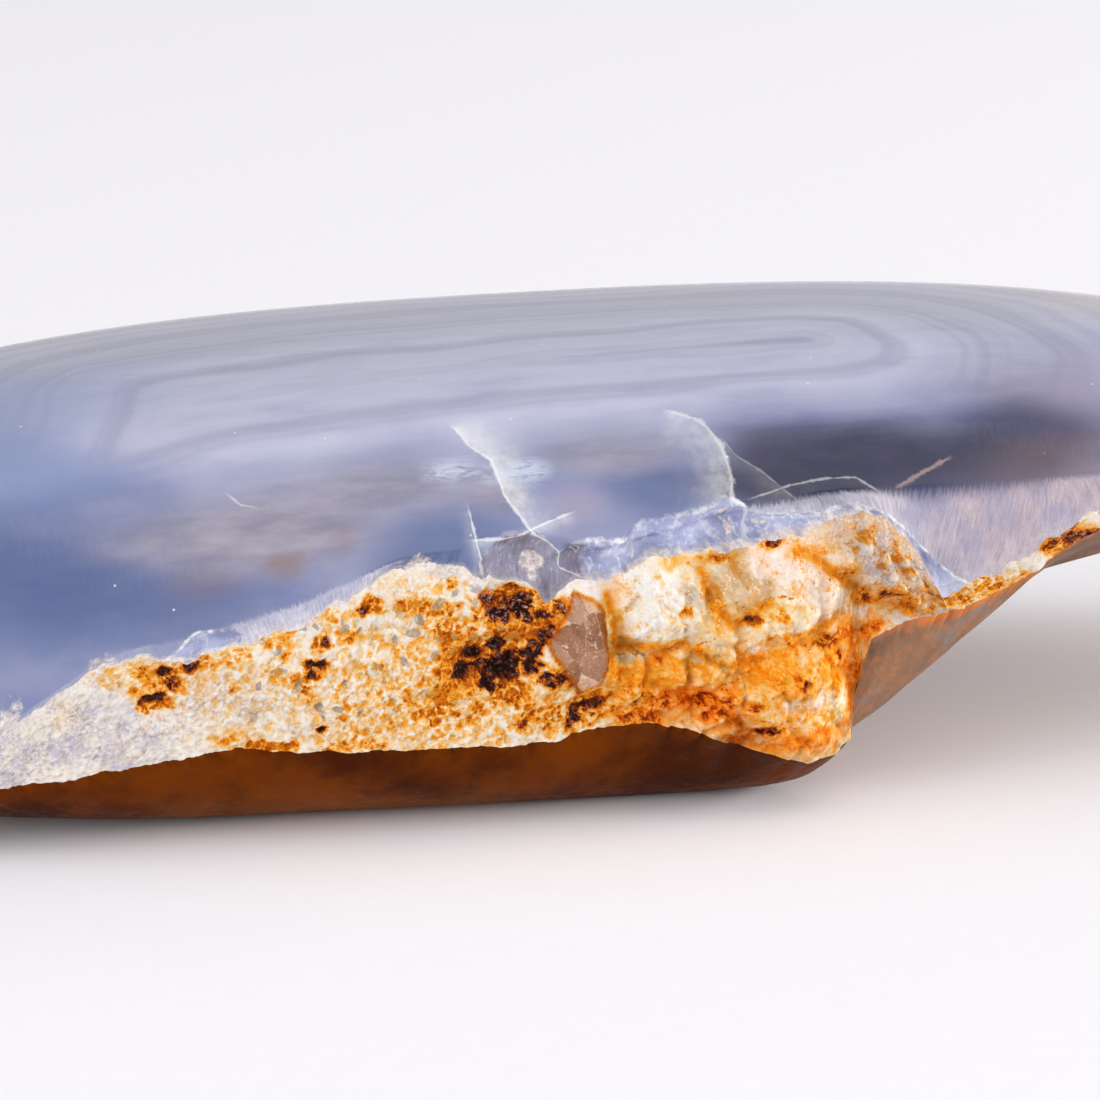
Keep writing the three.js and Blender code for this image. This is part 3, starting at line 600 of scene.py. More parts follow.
def lump_relief(along, height, bent_s, bent_z):
    """Broken facets and small grains of the lump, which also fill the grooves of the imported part."""
    sharp = 1 - np.abs(rough_noise(along / 0.5, height / 0.45, 29, 3))
    broken = 1 - np.abs(rough_noise(along / 1.1, height / 0.9, 39, 3))
    nearest, second = cells(along / GRAIN_SPACING, height / GRAIN_SPACING)[:2]
    groove = 1 - np.minimum(1, (second - nearest) / GROOVE_WIDTH)
    filled = np.clip(0.8 + 1.3 * patchy(along, height, 1.3, 44, 2), 0, 1)
    out = GRAIN_RELIEF * GROOVE_DEPTH * groove * filled + BROKEN_RELIEF * (sharp + broken)
    return out + sum(stands * grains(bent_s, bent_z, spacing, salt) for spacing, stands, salt in SMALL_GRAINS)


def fine_relief(along, height):
    """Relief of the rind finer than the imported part's, and fields of its pores, grains and beads by name."""
    lump = in_lump(along)
    crust = step_up(CRUST_FROM, CRUST_FROM + 1.2, along + 0.9 * (height - 8.1)) * (along < CRUST_TO)
    bent_s = along + PORE_BEND * patchy(along, height, 0.3, 5, 2)
    bent_z = height + PORE_BEND * patchy(along, height, 0.3, 6, 2)
    pore = 0
    for spacing, share, deep, salt in PORES:
        pore = np.maximum(pore, deep * pits(bent_s, bent_z, spacing, share, salt))
    grit = patchy(along, height, GRIT_SIZE, 9, 3)
    dark = blobs(MANGANESE, along, height, 0.3)
    out = GRIT_RELIEF * grit + WAVE_RELIEF * patchy(along, height, WAVE_SIZE, 19, 2)
    out = out - PORE_DEPTH * (1 - lump) * (1 - crust) * pore - dark * (BLACK_DEPTH - BLACK_GRIT * grit)
    out = out + lump * lump_relief(along, height, bent_s, bent_z)
    off = cells(bent_s / SMALL_BEAD_SPACING, bent_z / SMALL_BEAD_SPACING, 60)[0] / SMALL_BEAD_RADIUS
    out = out + SMALL_BEAD_RELIEF * crust * np.sqrt(np.clip(1 - off**2, 0, 1))
    beads = np.zeros(np.shape(along))
    for at, up, radius in BEADS:
        ball = np.clip(radius**2 - (along - at) ** 2 - (height - up) ** 2, 0, None)
        out = out + BEAD_RELIEF * np.sqrt(ball)
        beads = np.maximum(beads, step_up(0, 0.5, ball / radius**2))
    within = inside(QUARTZ_CORNERS, along, height) + QUARTZ_STRAY * patchy(along, height, 0.5, 33, 3)
    quartz = step_up(-0.03, 0.06, within)
    facets = grains(along + 0.2 * height, height, 1.0, 70)
    out = out * (1 - quartz) + quartz * (QUARTZ_FACETS * facets + QUARTZ_GRIT * grit)
    lump_colours = np.maximum(lump, stretch_of(along, -3.3, -2.9, 6.0, 6.8) * (height < 8.9))
    return out, {
        "lump": lump_colours * (1 - quartz) * (1 - crust),
        "crust": crust,
        "quartz": quartz,
        "beads": beads,
        "quartz_edge": np.exp(-((within / 0.12) ** 2)),
        "dark": dark,
    }


def wall_relief(along, height):
    return relief(along, height) + fine_relief(along, height)[0]


def stations():
    """Distances along the rim, close together on the rough front. Their number is even."""
    places = []
    along = -RIM_LENGTH / 2
    while along < RIM_LENGTH / 2 - COARSE_STEP / 2:
        places.append(along)
        outside = max(0, FINE_FROM - along, along - FINE_TO)
        along += FINE_STEP + (COARSE_STEP - FINE_STEP) * min(1, outside / STEP_MARGIN)
    if len(places) % 2:
        places.pop()
    return np.array(places)


def rim_lines():
    """Of each station: its place on the outline, the heights of its lines, and their reaches as shares."""
    along = stations()
    bottom = read_pairs(RIND_BOTTOM, along) + BOTTOM_STRAY * rough_noise(along / 0.5, 0, 3, 3)
    top = read_pairs(RIND_TOP, along) + TOP_STRAY * rough_noise(along / 0.45, 0, 8, 4)
    top = np.maximum(top, bottom + LEAST_WALL)
    polish = np.maximum(read_smooth(POLISH_EDGE, along, 1), top + LEAST_BEVEL)
    top_reach = np.maximum(WALL_REACH, dome_reach(polish) + BEVEL_LIP)
    return SimpleNamespace(
        along=along, outline=outline_at(along), bottom=bottom, top=top, polish=polish,
        rest_reach=read_smooth(REST_REACH, along, 8), foot_reach=top_reach + WALL_LEAN,
        top_reach=top_reach, polish_reach=dome_reach(polish), full=read_smooth(FULLNESS, along, 7),
    )


def row_at(lines, share, height, out, zone, every=1):
    """A row as (positions, along, height, zone): a share of the way to the outline, and out from there."""
    x, y, out_x, out_y = lines.outline
    row = np.stack([x * share + out_x * out, y * share + out_y * out, height], -1)[::every]
    return row, lines.along[::every], height[::every], np.full(len(row), float(zone))


def underside_rows(lines):
    """From the rest face out to the foot of the rind, bent as the fullness says."""
    foot = lines.bottom
    stands = relief(lines.along, foot)
    fine = fine_relief(lines.along, foot)[0]
    mid_reach = lines.rest_reach + (lines.foot_reach - lines.rest_reach) * (0.5 + 0.28 * lines.full)
    mid_height = foot * (0.5 - 0.34 * lines.full)
    rows = []
    for t in np.arange(UNDER_ROWS) / UNDER_ROWS:
        share = (1 - t) ** 2 * lines.rest_reach + 2 * t * (1 - t) * mid_reach + t**2 * lines.foot_reach
        height = 2 * t * (1 - t) * mid_height + t**2 * foot
        rows.append(row_at(lines, share, height, stands * t**5 + fine * t**20, t - 1, 2))
    return rows


def wall_rows(lines):
    """The rind, from its foot to its top, where its relief dies away."""
    rows = []
    for t in np.arange(WALL_ROWS + 1) / WALL_ROWS:
        height = lines.bottom + (lines.top - lines.bottom) * t
        reach = lines.foot_reach + (lines.top_reach - lines.foot_reach) * t
        rows.append(row_at(lines, reach, height, wall_relief(lines.along, height) * (1 - t**6), t))
    return rows


def bevel_rows(lines):
    """From the top of the rind to the polish, with chips and flakes off."""
    along = lines.along
    chip = sum(deep * np.clip(1 - ((along - at) / half) ** 2, 0, None) for at, half, deep in CHIPS)
    rows = []
    for t in np.arange(1, BEVEL_ROWS + 1) / BEVEL_ROWS:
        height = lines.top + (lines.polish - lines.top) * t
        reach = lines.top_reach + (lines.polish_reach - lines.top_reach) * t
        chipped = step_up(-0.1, 0.3, read_pairs(CHIP_TOP, along) - height)
        flakes = FLAKE_DEPTH + FLAKE_RELIEF * grains(along, height, FLAKE_SIZE, 80)
        out = -chip * 4 * t * (1 - t) - chipped * flakes * step_up(0, 0.2, 1 - t)
        rows.append(row_at(lines, reach, height, out, 1 + t))
    return rows


def dome_rows(lines):
    rows = []
    for t in np.arange(1, DOME_ROWS) / DOME_ROWS:
        share = lines.polish_reach * np.cos(math.pi / 2 * t**DOME_CROWDING)
        rows.append(row_at(lines, share, dome_height(share), 0, 2 + t, 2))
    return rows


def join_rows(under, rim, dome):
    """Vertices and faces of the closed stone, with the material of each face."""
    rows = under + rim + dome
    summit_height = dome_height(0.0)
    ends = ([(0, 0, 0), (0, 0, summit_height)], [0, 0], [0, summit_height], [-1, 3])
    points, along, height, zone = (
        np.concatenate([row[part] for row in rows] + [ends[part]]) for part in range(4)
    )
    starts = np.cumsum([0] + [len(row[1]) for row in rows])
    lowest, summit = len(points) - 2, len(points) - 1
    full_ring = len(rim[0][1])
    half_ring = full_ring // 2
    faces = []
    kinds = []

    def ring(row, count):
        here = starts[row] + np.arange(count)
        return here, starts[row] + (np.arange(count) + 1) % count

    def add(kind, *corners):
        block = np.stack(np.broadcast_arrays(*corners), -1)
        faces.append(block)
        kinds.append(np.full(len(block), kind))

    def add_quads(kind, row, count):
        low, low_next = ring(row, count)
        high, high_next = ring(row + 1, count)
        add(kind, low, low_next, high_next)
        add(kind, low, high_next, high)

    def even_places(row):
        """Every second vertex of a full ring, and the one that comes two after it."""
        even = 2 * np.arange(half_ring)
        return starts[row] + even, starts[row] + (even + 2) % full_ring

    first_rim = len(under)
    last_rim = first_rim + len(rim) - 1
    here, after = ring(0, half_ring)
    add(UNDERSIDE, lowest, after, here)
    for row in range(first_rim - 1):
        add_quads(UNDERSIDE, row, half_ring)
    here, after = ring(first_rim - 1, half_ring)
    even, even_next = even_places(first_rim)
    add(UNDERSIDE, here, after, even + 1)
    add(UNDERSIDE, after, even_next, even + 1)
    add(UNDERSIDE, here, even + 1, even)
    for row in range(first_rim, last_rim):
        add_quads(RIND if row < first_rim + WALL_ROWS else POLISH, row, full_ring)
    here, after = ring(last_rim + 1, half_ring)
    even, even_next = even_places(last_rim)
    add(POLISH, even, even + 1, here)
    add(POLISH, even + 1, even_next, after)
    add(POLISH, even + 1, after, here)
    for row in range(last_rim + 1, len(rows) - 1):
        add_quads(POLISH, row, half_ring)
    here, after = ring(len(rows) - 1, half_ring)
    add(POLISH, summit, here, after)
    return points, along, height, zone, np.concatenate(faces), np.concatenate(kinds)


def tones(places, points):
    """Soft patches that run together, at points of the dome."""
    wobble = 0.2 * rough_noise(points[:, 0] / 3.0, points[:, 1] / 3.0, points[:, 2] / 1.6, 2)
    clear = np.ones(len(points))
    for centre, halves, strength in places:
        d = np.sqrt((((points - centre) / halves) ** 2).sum(1))
        clear = clear * (1 - strength * (1 - step_up(TONE_CORE, PATCH_END, d + wobble)))
    return 1 - clear


def lace(points):
    """Distance of the dome's points from the lace's middle line, in mm, and how strongly its bands show."""
    x, y, z = points.T
    bend = 0.45 * rough_noise(x / 6, y / 3.5, 4, 2) + 0.08 * noise(x / 1.3, y / 0.8, 9)
    (left_x, left_y), (right_x, right_y) = LACE_LEFT, LACE_RIGHT
    middle_y = left_y + (right_y - left_y) * (x - left_x) / (right_x - left_x)
    round_end = np.hypot(np.clip(x - right_x, 0, None) * 0.8, y - middle_y)
    lean_x, lean_y = LACE_LEFT_LEAN
    left_end = lean_x * (x - left_x) + lean_y * (y - left_y)
    gap = np.abs(round_end - left_end)
    distance = np.maximum(round_end, left_end) + LACE_CORNER / 4 * np.exp(-gap / LACE_CORNER)
    front_edge = np.interp(x, *zip(*LACE_EDGE))
    front = step_up(-0.7, 0.9, z - front_edge + 0.3 * rough_noise(x / 3, z, 17, 2))
    back = step_up(-2, 3, y) * (0.35 + 0.65 * step_up(7, 10, z))
    return distance + bend, np.maximum(front, back)


def crack_distance(corners, points, normals):
    """Signed distance across the surface to a crack, and how far the crack has faded beyond its ends."""
    corners = np.array(corners)
    last = len(corners) - 1
    least = np.full(len(points), FAR)
    signed = np.zeros(len(points))
    over = np.zeros(len(points))
    for i in range(last):
        step = corners[i + 1] - corners[i]
        length = np.linalg.norm(step)
        step = step / length
        free = (points - corners[i]) @ step
        gap = points - corners[i] - np.clip(free, 0, length)[:, None] * step
        distance = np.linalg.norm(gap, axis=1)
        closer = distance < least
        least = np.where(closer, distance, least)
        signed = np.where(closer, (np.cross(step, gap) * normals).sum(1), signed)
        before = np.clip(-free, 0, None) * (i == 0)
        behind = np.clip(free - length, 0, None) * (i == last - 1)
        over = np.where(closer, before + behind, over)
    far = step_up(2.5, 4, least)
    return np.where(far > 0.99, 9, signed), np.clip(1 - over / CRACK_FADE, 0, 1) * (1 - far)


def hollows(along, height):
    """How deep each place of the rind lies under the places round it, in mm."""
    count = len(stations())
    first = UNDER_ROWS * count // 2
    wall = slice(first, first + (WALL_ROWS + 1) * count)
    raised = wall_relief(along[wall], height[wall]).reshape(-1, count)
    level = raised
    for _ in range(HOLLOW_BLUR):
        level = (np.roll(level, 1, 1) + 2 * level + np.roll(level, -1, 1)) / 4
        padded = np.pad(level, ((1, 1), (0, 0)), "edge")
        level = (padded[:-2] + 2 * level + padded[2:]) / 4
    deep = np.zeros(len(along))
    deep[wall] = (level - raised).ravel()
    return deep


def lump_colour(along, height):
    """Colour of the lump, from the patches nearest each place, and how evenly two patches share the place."""
    at_s = along + 0.3 * patchy(along, height, 0.6, 51, 4)
    at_z = height + 0.3 * patchy(along, height, 0.6, 52, 4)
    total = np.full(along.shape, 1e-6)
    colour = np.zeros(along.shape + (3,)) + np.array(CREAM) * 1e-6
    first = np.full(along.shape, 1e-6)
    second = np.zeros(along.shape)
    for at, up, half_width, half_height, tint in LUMP_GRAINS:
        weight = np.exp(-8 * np.hypot((at_s - at) / half_width, (at_z - up) / half_height))
        colour = colour + weight[..., None] * np.array(tint)
        total = total + weight
        second = np.maximum(second, np.minimum(first, weight))
        first = np.maximum(first, weight)
    return colour / total[..., None], second / first


def rim_fields(along, height, zone):
    """What the materials need to know of each place on the rim, by name."""
    back = np.clip(np.maximum(FINE_FROM - along, along - FINE_TO) / 2, 0, 1)
    back_iron = back * np.clip(0.26 + 0.8 * rough_noise(along / 4, height / 1.8, 71, 4), 0, 0.85)
    back_dark = back * step_up(0.32, 0.6, rough_noise(along / 1.7, height, 72, 3))
    beyond = np.clip(np.abs(along) - FOLD, 0, None)
    folded = np.sign(along) * (np.abs(along) - beyond * (1 + FOLD / (RIM_LENGTH / 2 - FOLD)))
    bent = along + 0.07 * patchy(along, height, 0.3, 61, 2)
    fields = fine_relief(along, height)[1]
    fields["dark"] = np.maximum(fields["dark"], 0.8 * back_dark)
    fields["lump_colour"], fields["meets"] = lump_colour(along, height)
    fields.update(
        zone=zone,
        rim=np.stack([folded, height, zone + beyond / 4], 1),
        rust=np.maximum(blobs(IRON_STAIN, along, height, 0.3), back_iron),
        flaky=blobs(FLAKY, along, height),
        chalk=blobs(CHALK, along, height, 0.35),
        fluff=blobs(FLUFF, along, height, 0.2),
        ground=1 - stretch_of(along, -10.5, -9.3, -3.9, -3.3),
        faint=stretch_of(along, -27, -24, -15.4, -14.2),
        underside_right=stretch_of(along, 3.5, 7.5, 55, 65),
        underside_left=stretch_of(along, -22, -16, -9, -3),
        chip=read_pairs(CHIP_TOP, along) - height,
        # How deep the rind lies under its surroundings; the rind's material uses it for iron in hollows, and
        # for painted shade and painted light.
        hollow=hollows(along, height),
        seams=np.min([distance_to(corners, bent, height) for corners in SEAMS], axis=0),
        cleft=np.min([distance_to(corners, along, height) for _, _, corners in CLEFTS], axis=0),
    )
    return fields


def store(mesh, name, values):
    values = np.asarray(values, dtype=np.float32)
    kind, key = ("FLOAT", "value") if values.ndim == 1 else ("FLOAT_VECTOR", "vector")
    mesh.attributes.new(name, kind, "POINT").data.foreach_set(key, values.ravel())


def add_object(name, data):
    thing = bpy.data.objects.new(name, data)
    bpy.context.collection.objects.link(thing)
    return thing


def make_stone():
    lines = rim_lines()
    rim = wall_rows(lines) + bevel_rows(lines)
    points, along, height, zone, faces, kinds = join_rows(underside_rows(lines), rim, dome_rows(lines))
    mesh = bpy.data.meshes.new("agate_surface")
    mesh.from_pydata((points * MM).tolist(), [], faces.tolist())
    mesh.polygons.foreach_set("material_index", kinds)
    mesh.polygons.foreach_set("use_smooth", np.ones(len(faces), bool))
    mesh.update()
    normals = np.empty(len(points) * 3)
    mesh.vertex_normals.foreach_get("vector", normals)
    normals = normals.reshape(-1, 3)
    fields = rim_fields(along, height, zone)
    fields["lace"], lace_share = lace(points)
    fields["lace_share"] = lace_share * (zone > 1.9)
    for name, places in TONES.items():
        fields[name] = tones(places, points)
    for name, (_, _, corners) in CRACKS.items():
        fields[name], fields[name + "_shown"] = crack_distance(corners, points, normals)
    for name, values in fields.items():
        store(mesh, name, values)
    return add_object("agate_stone", mesh)


def seen(red, green, blue):
    """A colour as seen on screen, 0 to 255, made linear for a shader."""
    linear = [((v / 255 + 0.055) / 1.055) ** 2.4 if v > 10 else v / 3294 for v in (red, green, blue)]
    return (*linear, 1.0)


def connect(tree, socket, value):
    """Gives an input what another node gives, or something plain."""
    if isinstance(value, Value):
        tree.links.new(value.socket, socket)
    else:
        socket.default_value = value


class Value:
    """What a node of a material gives. Whatever is done with it adds a node, and gives that node's value."""

    def __init__(self, tree, socket):
        self.tree = tree
        self.socket = socket

    def feed(self, kind, inputs, output=0, **settings):
        """A new node with these settings and inputs, each of them a value or something plain."""
        node = self.tree.nodes.new("ShaderNode" + kind)
        for name, setting in settings.items():
            setattr(node, name, setting)
        for place, value in inputs.items():
            connect(self.tree, node.inputs[place], value)
        return Value(self.tree, node.outputs[output])

    def math(self, operation, first, second=0.0):
        return self.feed("Math", {0: first, 1: second}, operation=operation)

    def __add__(self, other):
        return self.math("ADD", self, other)

    def __radd__(self, other):
        return self.math("ADD", other, self)

    def __sub__(self, other):
        return self.math("SUBTRACT", self, other)

    def __rsub__(self, other):
        return self.math("SUBTRACT", other, self)

    def __mul__(self, other):
        return self.math("MULTIPLY", self, other)

    def __truediv__(self, other):
        return self.math("DIVIDE", self, other)

    def __abs__(self):
        return self.math("ABSOLUTE", self)

    def ramp(self, low, high, start=0.0, end=1.0):
        """Smoothly from start to end as the value goes from low to high."""
        inputs = {"Value": self, "From Min": low, "From Max": high, "To Min": start, "To Max": end}
        return self.feed("MapRange", inputs, interpolation_type="SMOOTHSTEP")

    def fall(self, low, high, start=1.0):
        """Smoothly from start to 0 as the value goes from low to high."""
        return self.ramp(low, high, start, 0.0)

    def choose(self, first, second):
        """A plain number that goes from the first to the second as this value goes from 0 to 1."""
        return self.feed("Mix", {0: self, 2: first, 3: second})

    def mix(self, first, second):
        """A colour that goes from the first to the second as this value goes from 0 to 1."""
        return self.feed("Mix", {0: self, 6: first, 7: second}, 2, data_type="RGBA")

    def blend(self, way, amount, other):
        return self.feed("Mix", {0: amount, 6: self, 7: other}, 2, data_type="RGBA", blend_type=way)

    def scaled(self, *factors):
        return self.feed("VectorMath", {0: self, 1: factors}, operation="MULTIPLY")

    def parts(self):
        first = self.feed("SeparateXYZ", {0: self})
        return [Value(self.tree, output) for output in first.socket.node.outputs]

    def noise(self, scale, detail=3.0, roughness=0.5, distortion=0.0, output=0):
        inputs = {"Vector": self, "Scale": scale, "Detail": detail, "Roughness": roughness}
        return self.feed("TexNoise", inputs | {"Distortion": distortion}, output)

    def line_noise(self, scale, detail):
        return self.feed("TexNoise", {"W": self, "Scale": scale, "Detail": detail}, noise_dimensions="1D")

    def warped(self, amount, scale, detail, roughness):
        """This place shifted by a noise, for patterns with ragged shapes."""
        return self.blend("ADD", amount, self.noise(scale, detail, roughness, output=1))

    def cells(self, scale, feature="F1", output="Distance"):
        return self.feed("TexVoronoi", {"Vector": self, "Scale": scale}, output, feature=feature)

    def bump(self, depth, under=None):
        """Bump, on top of the bump under it, where this value from 0 to 1 stands for a depth in mm."""
        inputs = {"Distance": depth * MM, "Height": self}
        if under is not None:
            inputs["Normal"] = under
        return self.feed("Bump", inputs)


class Finish:
    """A material, with the place on the stone and the stone's stored fields as values."""

    def __init__(self, name):
        self.material = bpy.data.materials.new(name)
        self.material.use_nodes = True
        self.tree = self.material.node_tree

    def field(self, name, output="Fac"):
        node = self.tree.nodes.new("ShaderNodeAttribute")
        node.attribute_name = name
        return Value(self.tree, node.outputs[output])

    def place(self):
        """Position on the stone in mm."""
        node = self.tree.nodes.new("ShaderNodeTexCoord")
        return Value(self.tree, node.outputs["Object"]).scaled(1 / MM, 1 / MM, 1 / MM)

    def set(self, **sockets):
        shader = self.tree.nodes["Principled BSDF"]
        for name, value in sockets.items():
            connect(self.tree, shader.inputs[name.replace("_", " ")], value)


def most(first, *others):
    for other in others:
        first = first.math("MAXIMUM", first, other)
    return first


def least(first, second):
    return first.math("MINIMUM", first, second)


def iron_tint(amount):
    """The tint that iron gives as its amount goes from 0 to 1: cream, orange, rust, then black."""
    tint = amount.feed("ValToRGB", {0: amount})
    elements = tint.socket.node.color_ramp.elements
    for place, _ in IRON_TINTS[1:-1]:
        elements.new(place)
    for element, (place, colour) in zip(elements, IRON_TINTS):
        element.position = place
        element.color = colour + (1.0,)
    return tint


def crack_line(finish, name):
    """How strongly a crack's line shows: thin, with a ragged breadth."""
    half_width, strength, _ = CRACKS[name]
    ragged = finish.place().noise(3.0, 5.0, 0.7).ramp(0.3, 0.7, 0.3 * half_width, 2.2 * half_width)
    near = abs(finish.field(name)) / ragged
    return near.fall(0.3, 1.8) * finish.field(name + "_shown") * strength


def crack_veil(finish, name):
    """A milky sheet inside the stone on one side of a crack."""
    reach, side, strength = VEILS[name]
    across = finish.field(name) * float(side)
    near = across.fall(0.0, reach)
    mottle = finish.place().noise(1.3, 6.0, 0.65).ramp(0.25, 0.75, 0.25, 1.0)
    one_side = across.ramp(-0.03, 0.04)
    return near * near * one_side * mottle * finish.field(name + "_shown") * strength


def milky_depth(finish, at, haze):
    """The stone's own colour under the lace: blue grey, with soft patches of other tones."""
    field = finish.field
    cloud = at.scaled(0.6, 1, 1.4).noise(0.5, 5.0, 0.6)
    colour = cloud.ramp(0.3, 0.7).mix(seen(104, 112, 148), seen(126, 129, 156))
    colour = field("deep_blue").mix(colour, haze.mix(seen(58, 74, 116), seen(80, 92, 132)))
    colour = field("smoke").mix(colour, haze.ramp(0.3, 0.7).mix(seen(110, 106, 124), seen(140, 134, 147)))
    colour = field("lilac").mix(colour, seen(134, 128, 150))
    colour = field("navy").mix(colour, haze.ramp(0.35, 0.65).mix(seen(4, 10, 50), seen(34, 28, 60)))
    return field("brown").mix(colour, seen(116, 92, 86))


def lace_bands(finish, haze, colour):
    """Pale bands over the depth, and what lies pale round them."""
    field = finish.field
    band = field("lace")
    thin = band.line_noise(1.7, 2.0).ramp(0.3, 0.75)
    pale = band.line_noise(0.5, 1.0).ramp(0.3, 0.7).mix(seen(144, 144, 168), seen(172, 173, 194))
    pale = (thin * 0.35).mix(pale, seen(182, 183, 200))
    pale = band.line_noise(0.8, 2.0).ramp(0.56, 0.74, 0.0, 0.36).mix(pale, seen(136, 128, 146))
    colour = (field("lace_share") * haze.ramp(0.2, 0.6, 0.7, 1.0)).mix(colour, pale)
    colour = (field("pale_blue") * 0.8).mix(colour, seen(128, 142, 180))
    return (field("warm_cream") * 0.7).mix(colour, seen(200, 184, 176))


def splash_and_dust(finish, at, colour):
    """The bright splash by the star crack, and a few specks of dust."""
    splash = at.scaled(0.8, 0.8, 4.0).noise(1.6, 5.0, 0.7, 0.8).ramp(0.38, 0.54)
    colour = (splash * finish.field("splash") * 0.75).mix(colour, seen(178, 190, 206))
    dust = at.cells(0.9).fall(0.015, 0.05) * at.cells(0.9, output="Color").ramp(0.45, 0.55)
    return (dust * 0.7).mix(colour, seen(225, 225, 232))


def ground_bevel(finish, rim):
    """Grinding marks on the bevel: their pattern, how strongly they show, and their colour."""
    field = finish.field
    zone = field("zone")
    along, height, _ = rim.parts()
    upright = along - (along * 0.032 + 0.12) * height
    marks = upright.feed("CombineXYZ", {0: upright * 9.0, 1: height * 0.7})
    hatch = marks.noise(1.6, 4.0, 0.8)
    ragged_zone = zone + (hatch - 0.5) * along.ramp(0, 8, 0.8, 0.45)
    on_bevel = ragged_zone.fall(1.72, 1.95) * zone.fall(2.0, 2.01)
    right = along.ramp(4.0, 11.0)
    dull = right.mix(seen(156, 154, 174), seen(142, 132, 146))
    bright = right.mix(seen(210, 206, 214), seen(182, 163, 166))
    worn = rim.noise(0.8, 4.0, 0.6).ramp(0.35, 0.65, 0.5, 1.0)
    share = on_bevel * worn * field("ground") * field("faint").ramp(0, 1, 1.0, 0.3)
    return hatch, share, hatch.ramp(0.3, 0.7).mix(dull, bright)


def chipped_glass(finish, rim, arch, clear, colour, white):
    """The glassy strip where the polish has flaked off above the rind. Gives the colour, and where it is."""
    wander = (rim.noise(1.6, 5.0, 0.7) - 0.5) * arch.ramp(0, 1, 0.5, 0.03)
    edge = finish.field("chip") + wander
    below = finish.field("zone").ramp(2.1, 2.0)
    in_chip = edge.ramp(-0.03, 0.05) * below
    glass = rim.noise(0.7, 3.0).ramp(0.35, 0.65).mix(seen(118, 124, 158), seen(150, 156, 186))
    streak = rim.scaled(6.0, 1.2, 0).noise(1.0, 4.0, 0.7)
    glass = arch.mix(glass, streak.ramp(0.2, 0.8).mix(seen(98, 94, 114), seen(136, 132, 150)))
    frost = rim.noise(1.1, 7.0, 0.75).ramp(0.48, 0.64, 0.0, 0.6)
    glass = (frost * clear).mix(glass, seen(206, 204, 212))
    curve = abs(rim.noise(1.0, 2.5, 0.6) - 0.5).fall(0.004, 0.04, 0.6)
    glass = (curve * streak.ramp(0.42, 0.6) * clear * 0.7).mix(glass, seen(226, 224, 230))
    wisp = abs(edge).fall(0.01, 0.12, 0.8) * below * clear * rim.noise(1.4, 6.0, 0.7).ramp(0.44, 0.58)
    return wisp.mix(in_chip.mix(colour, glass), white), in_chip


def white_fluff(finish, rim, hair, clear):
    """How thick the crumbs of the rind lie over the edge of the polish."""
    zone = finish.field("zone")
    along, _, _ = rim.parts()
    tuft_off = rim.noise(1.6, 6.0, 0.75) - 0.5
    feather_off = rim.scaled(5.0, 1.5, 0).noise(1.0, 6.0, 0.75, 0.6) - 0.5
    hair_off = hair - 0.5
    tufts = finish.field("fluff") + tuft_off * 1.6 + (feather_off + hair_off) * 1.2
    fringe = zone + (feather_off + hair_off) * 0.35 + tuft_off * 1.1
    fringe = fringe.fall(1.0, 1.25, 0.9) * clear * along.ramp(7.5, 9.0, 1.0, 0.3)
    return most(tufts.ramp(0.35, 0.95), fringe) * zone.fall(2.0, 2.02, 0.9)


def chalcedony():
    """Polished blue chalcedony: lace bands over milky tones, cracks with veils, scratches, a ground bevel."""
    finish = Finish("chalcedony_polish")
    at = finish.place()
    rim = finish.field("rim", "Vector")
    white = seen(232, 230, 226)
    haze = at.scaled(0.35, 1.2, 1.5).noise(0.9, 6.0, 0.6)
    colour = lace_bands(finish, haze, milky_depth(finish, at, haze))
    for name in VEILS:
        colour = crack_veil(finish, name).mix(colour, white)
    colour = splash_and_dust(finish, at, colour)
    hatch, ground_share, ground = ground_bevel(finish, rim)
    colour = ground_share.mix(colour, ground)
    arch = finish.field("ground").fall(0.3, 0.7)
    clear = 1.0 - arch * 0.7
    colour, in_chip = chipped_glass(finish, rim, arch, clear, colour, white)
    for name in CRACKS:
        tint = seen(168, 140, 132) if name == "crack_tan" else white
        colour = crack_line(finish, name).mix(colour, tint)
    hair = rim.noise(5.0, 7.0, 0.8)
    fluff = white_fluff(finish, rim, hair, clear)
    colour = fluff.mix(colour, hair.ramp(0.35, 0.62).mix(seen(176, 158, 152), seen(226, 216, 210)))

    scratch = at.scaled(9, 1.4, 1.4).noise(1.0, 6.0, 0.7).ramp(0.45, 0.6)
    normal = (at.noise(30.0, 2.0) * scratch).bump(0.002)
    normal = (hatch * ground_share).bump(0.05, normal)
    normal = (rim.noise(2.0, 4.0) * in_chip).bump(0.05, normal)
    normal = (hair * fluff).bump(0.03, normal)
    rough = most(scratch.ramp(0, 1, 0.1, 0.16) + ground_share * 0.34, fluff * 0.8)
    finish.set(Base_Color=colour, Roughness=rough, IOR=1.54, Normal=normal)
    return finish.material


class RindNoise:
    """The noises that the parts of the rind's material share: broad patches, small ones and tiny ones."""

    def __init__(self, rim):
        self.rim = rim
        self.patch = rim.noise(0.7, 6.0, 0.7)
        self.small = rim.noise(4.0, 6.0, 0.7)
        self.tiny = rim.noise(11.0, 5.0, 0.75)
        self.small_off = self.small - 0.5
        self.tiny_off = self.tiny - 0.5
        self.sugar = self.small + self.tiny_off * 1.2
        self.warped = rim.warped(0.13, 3.5, 6.0, 0.75)


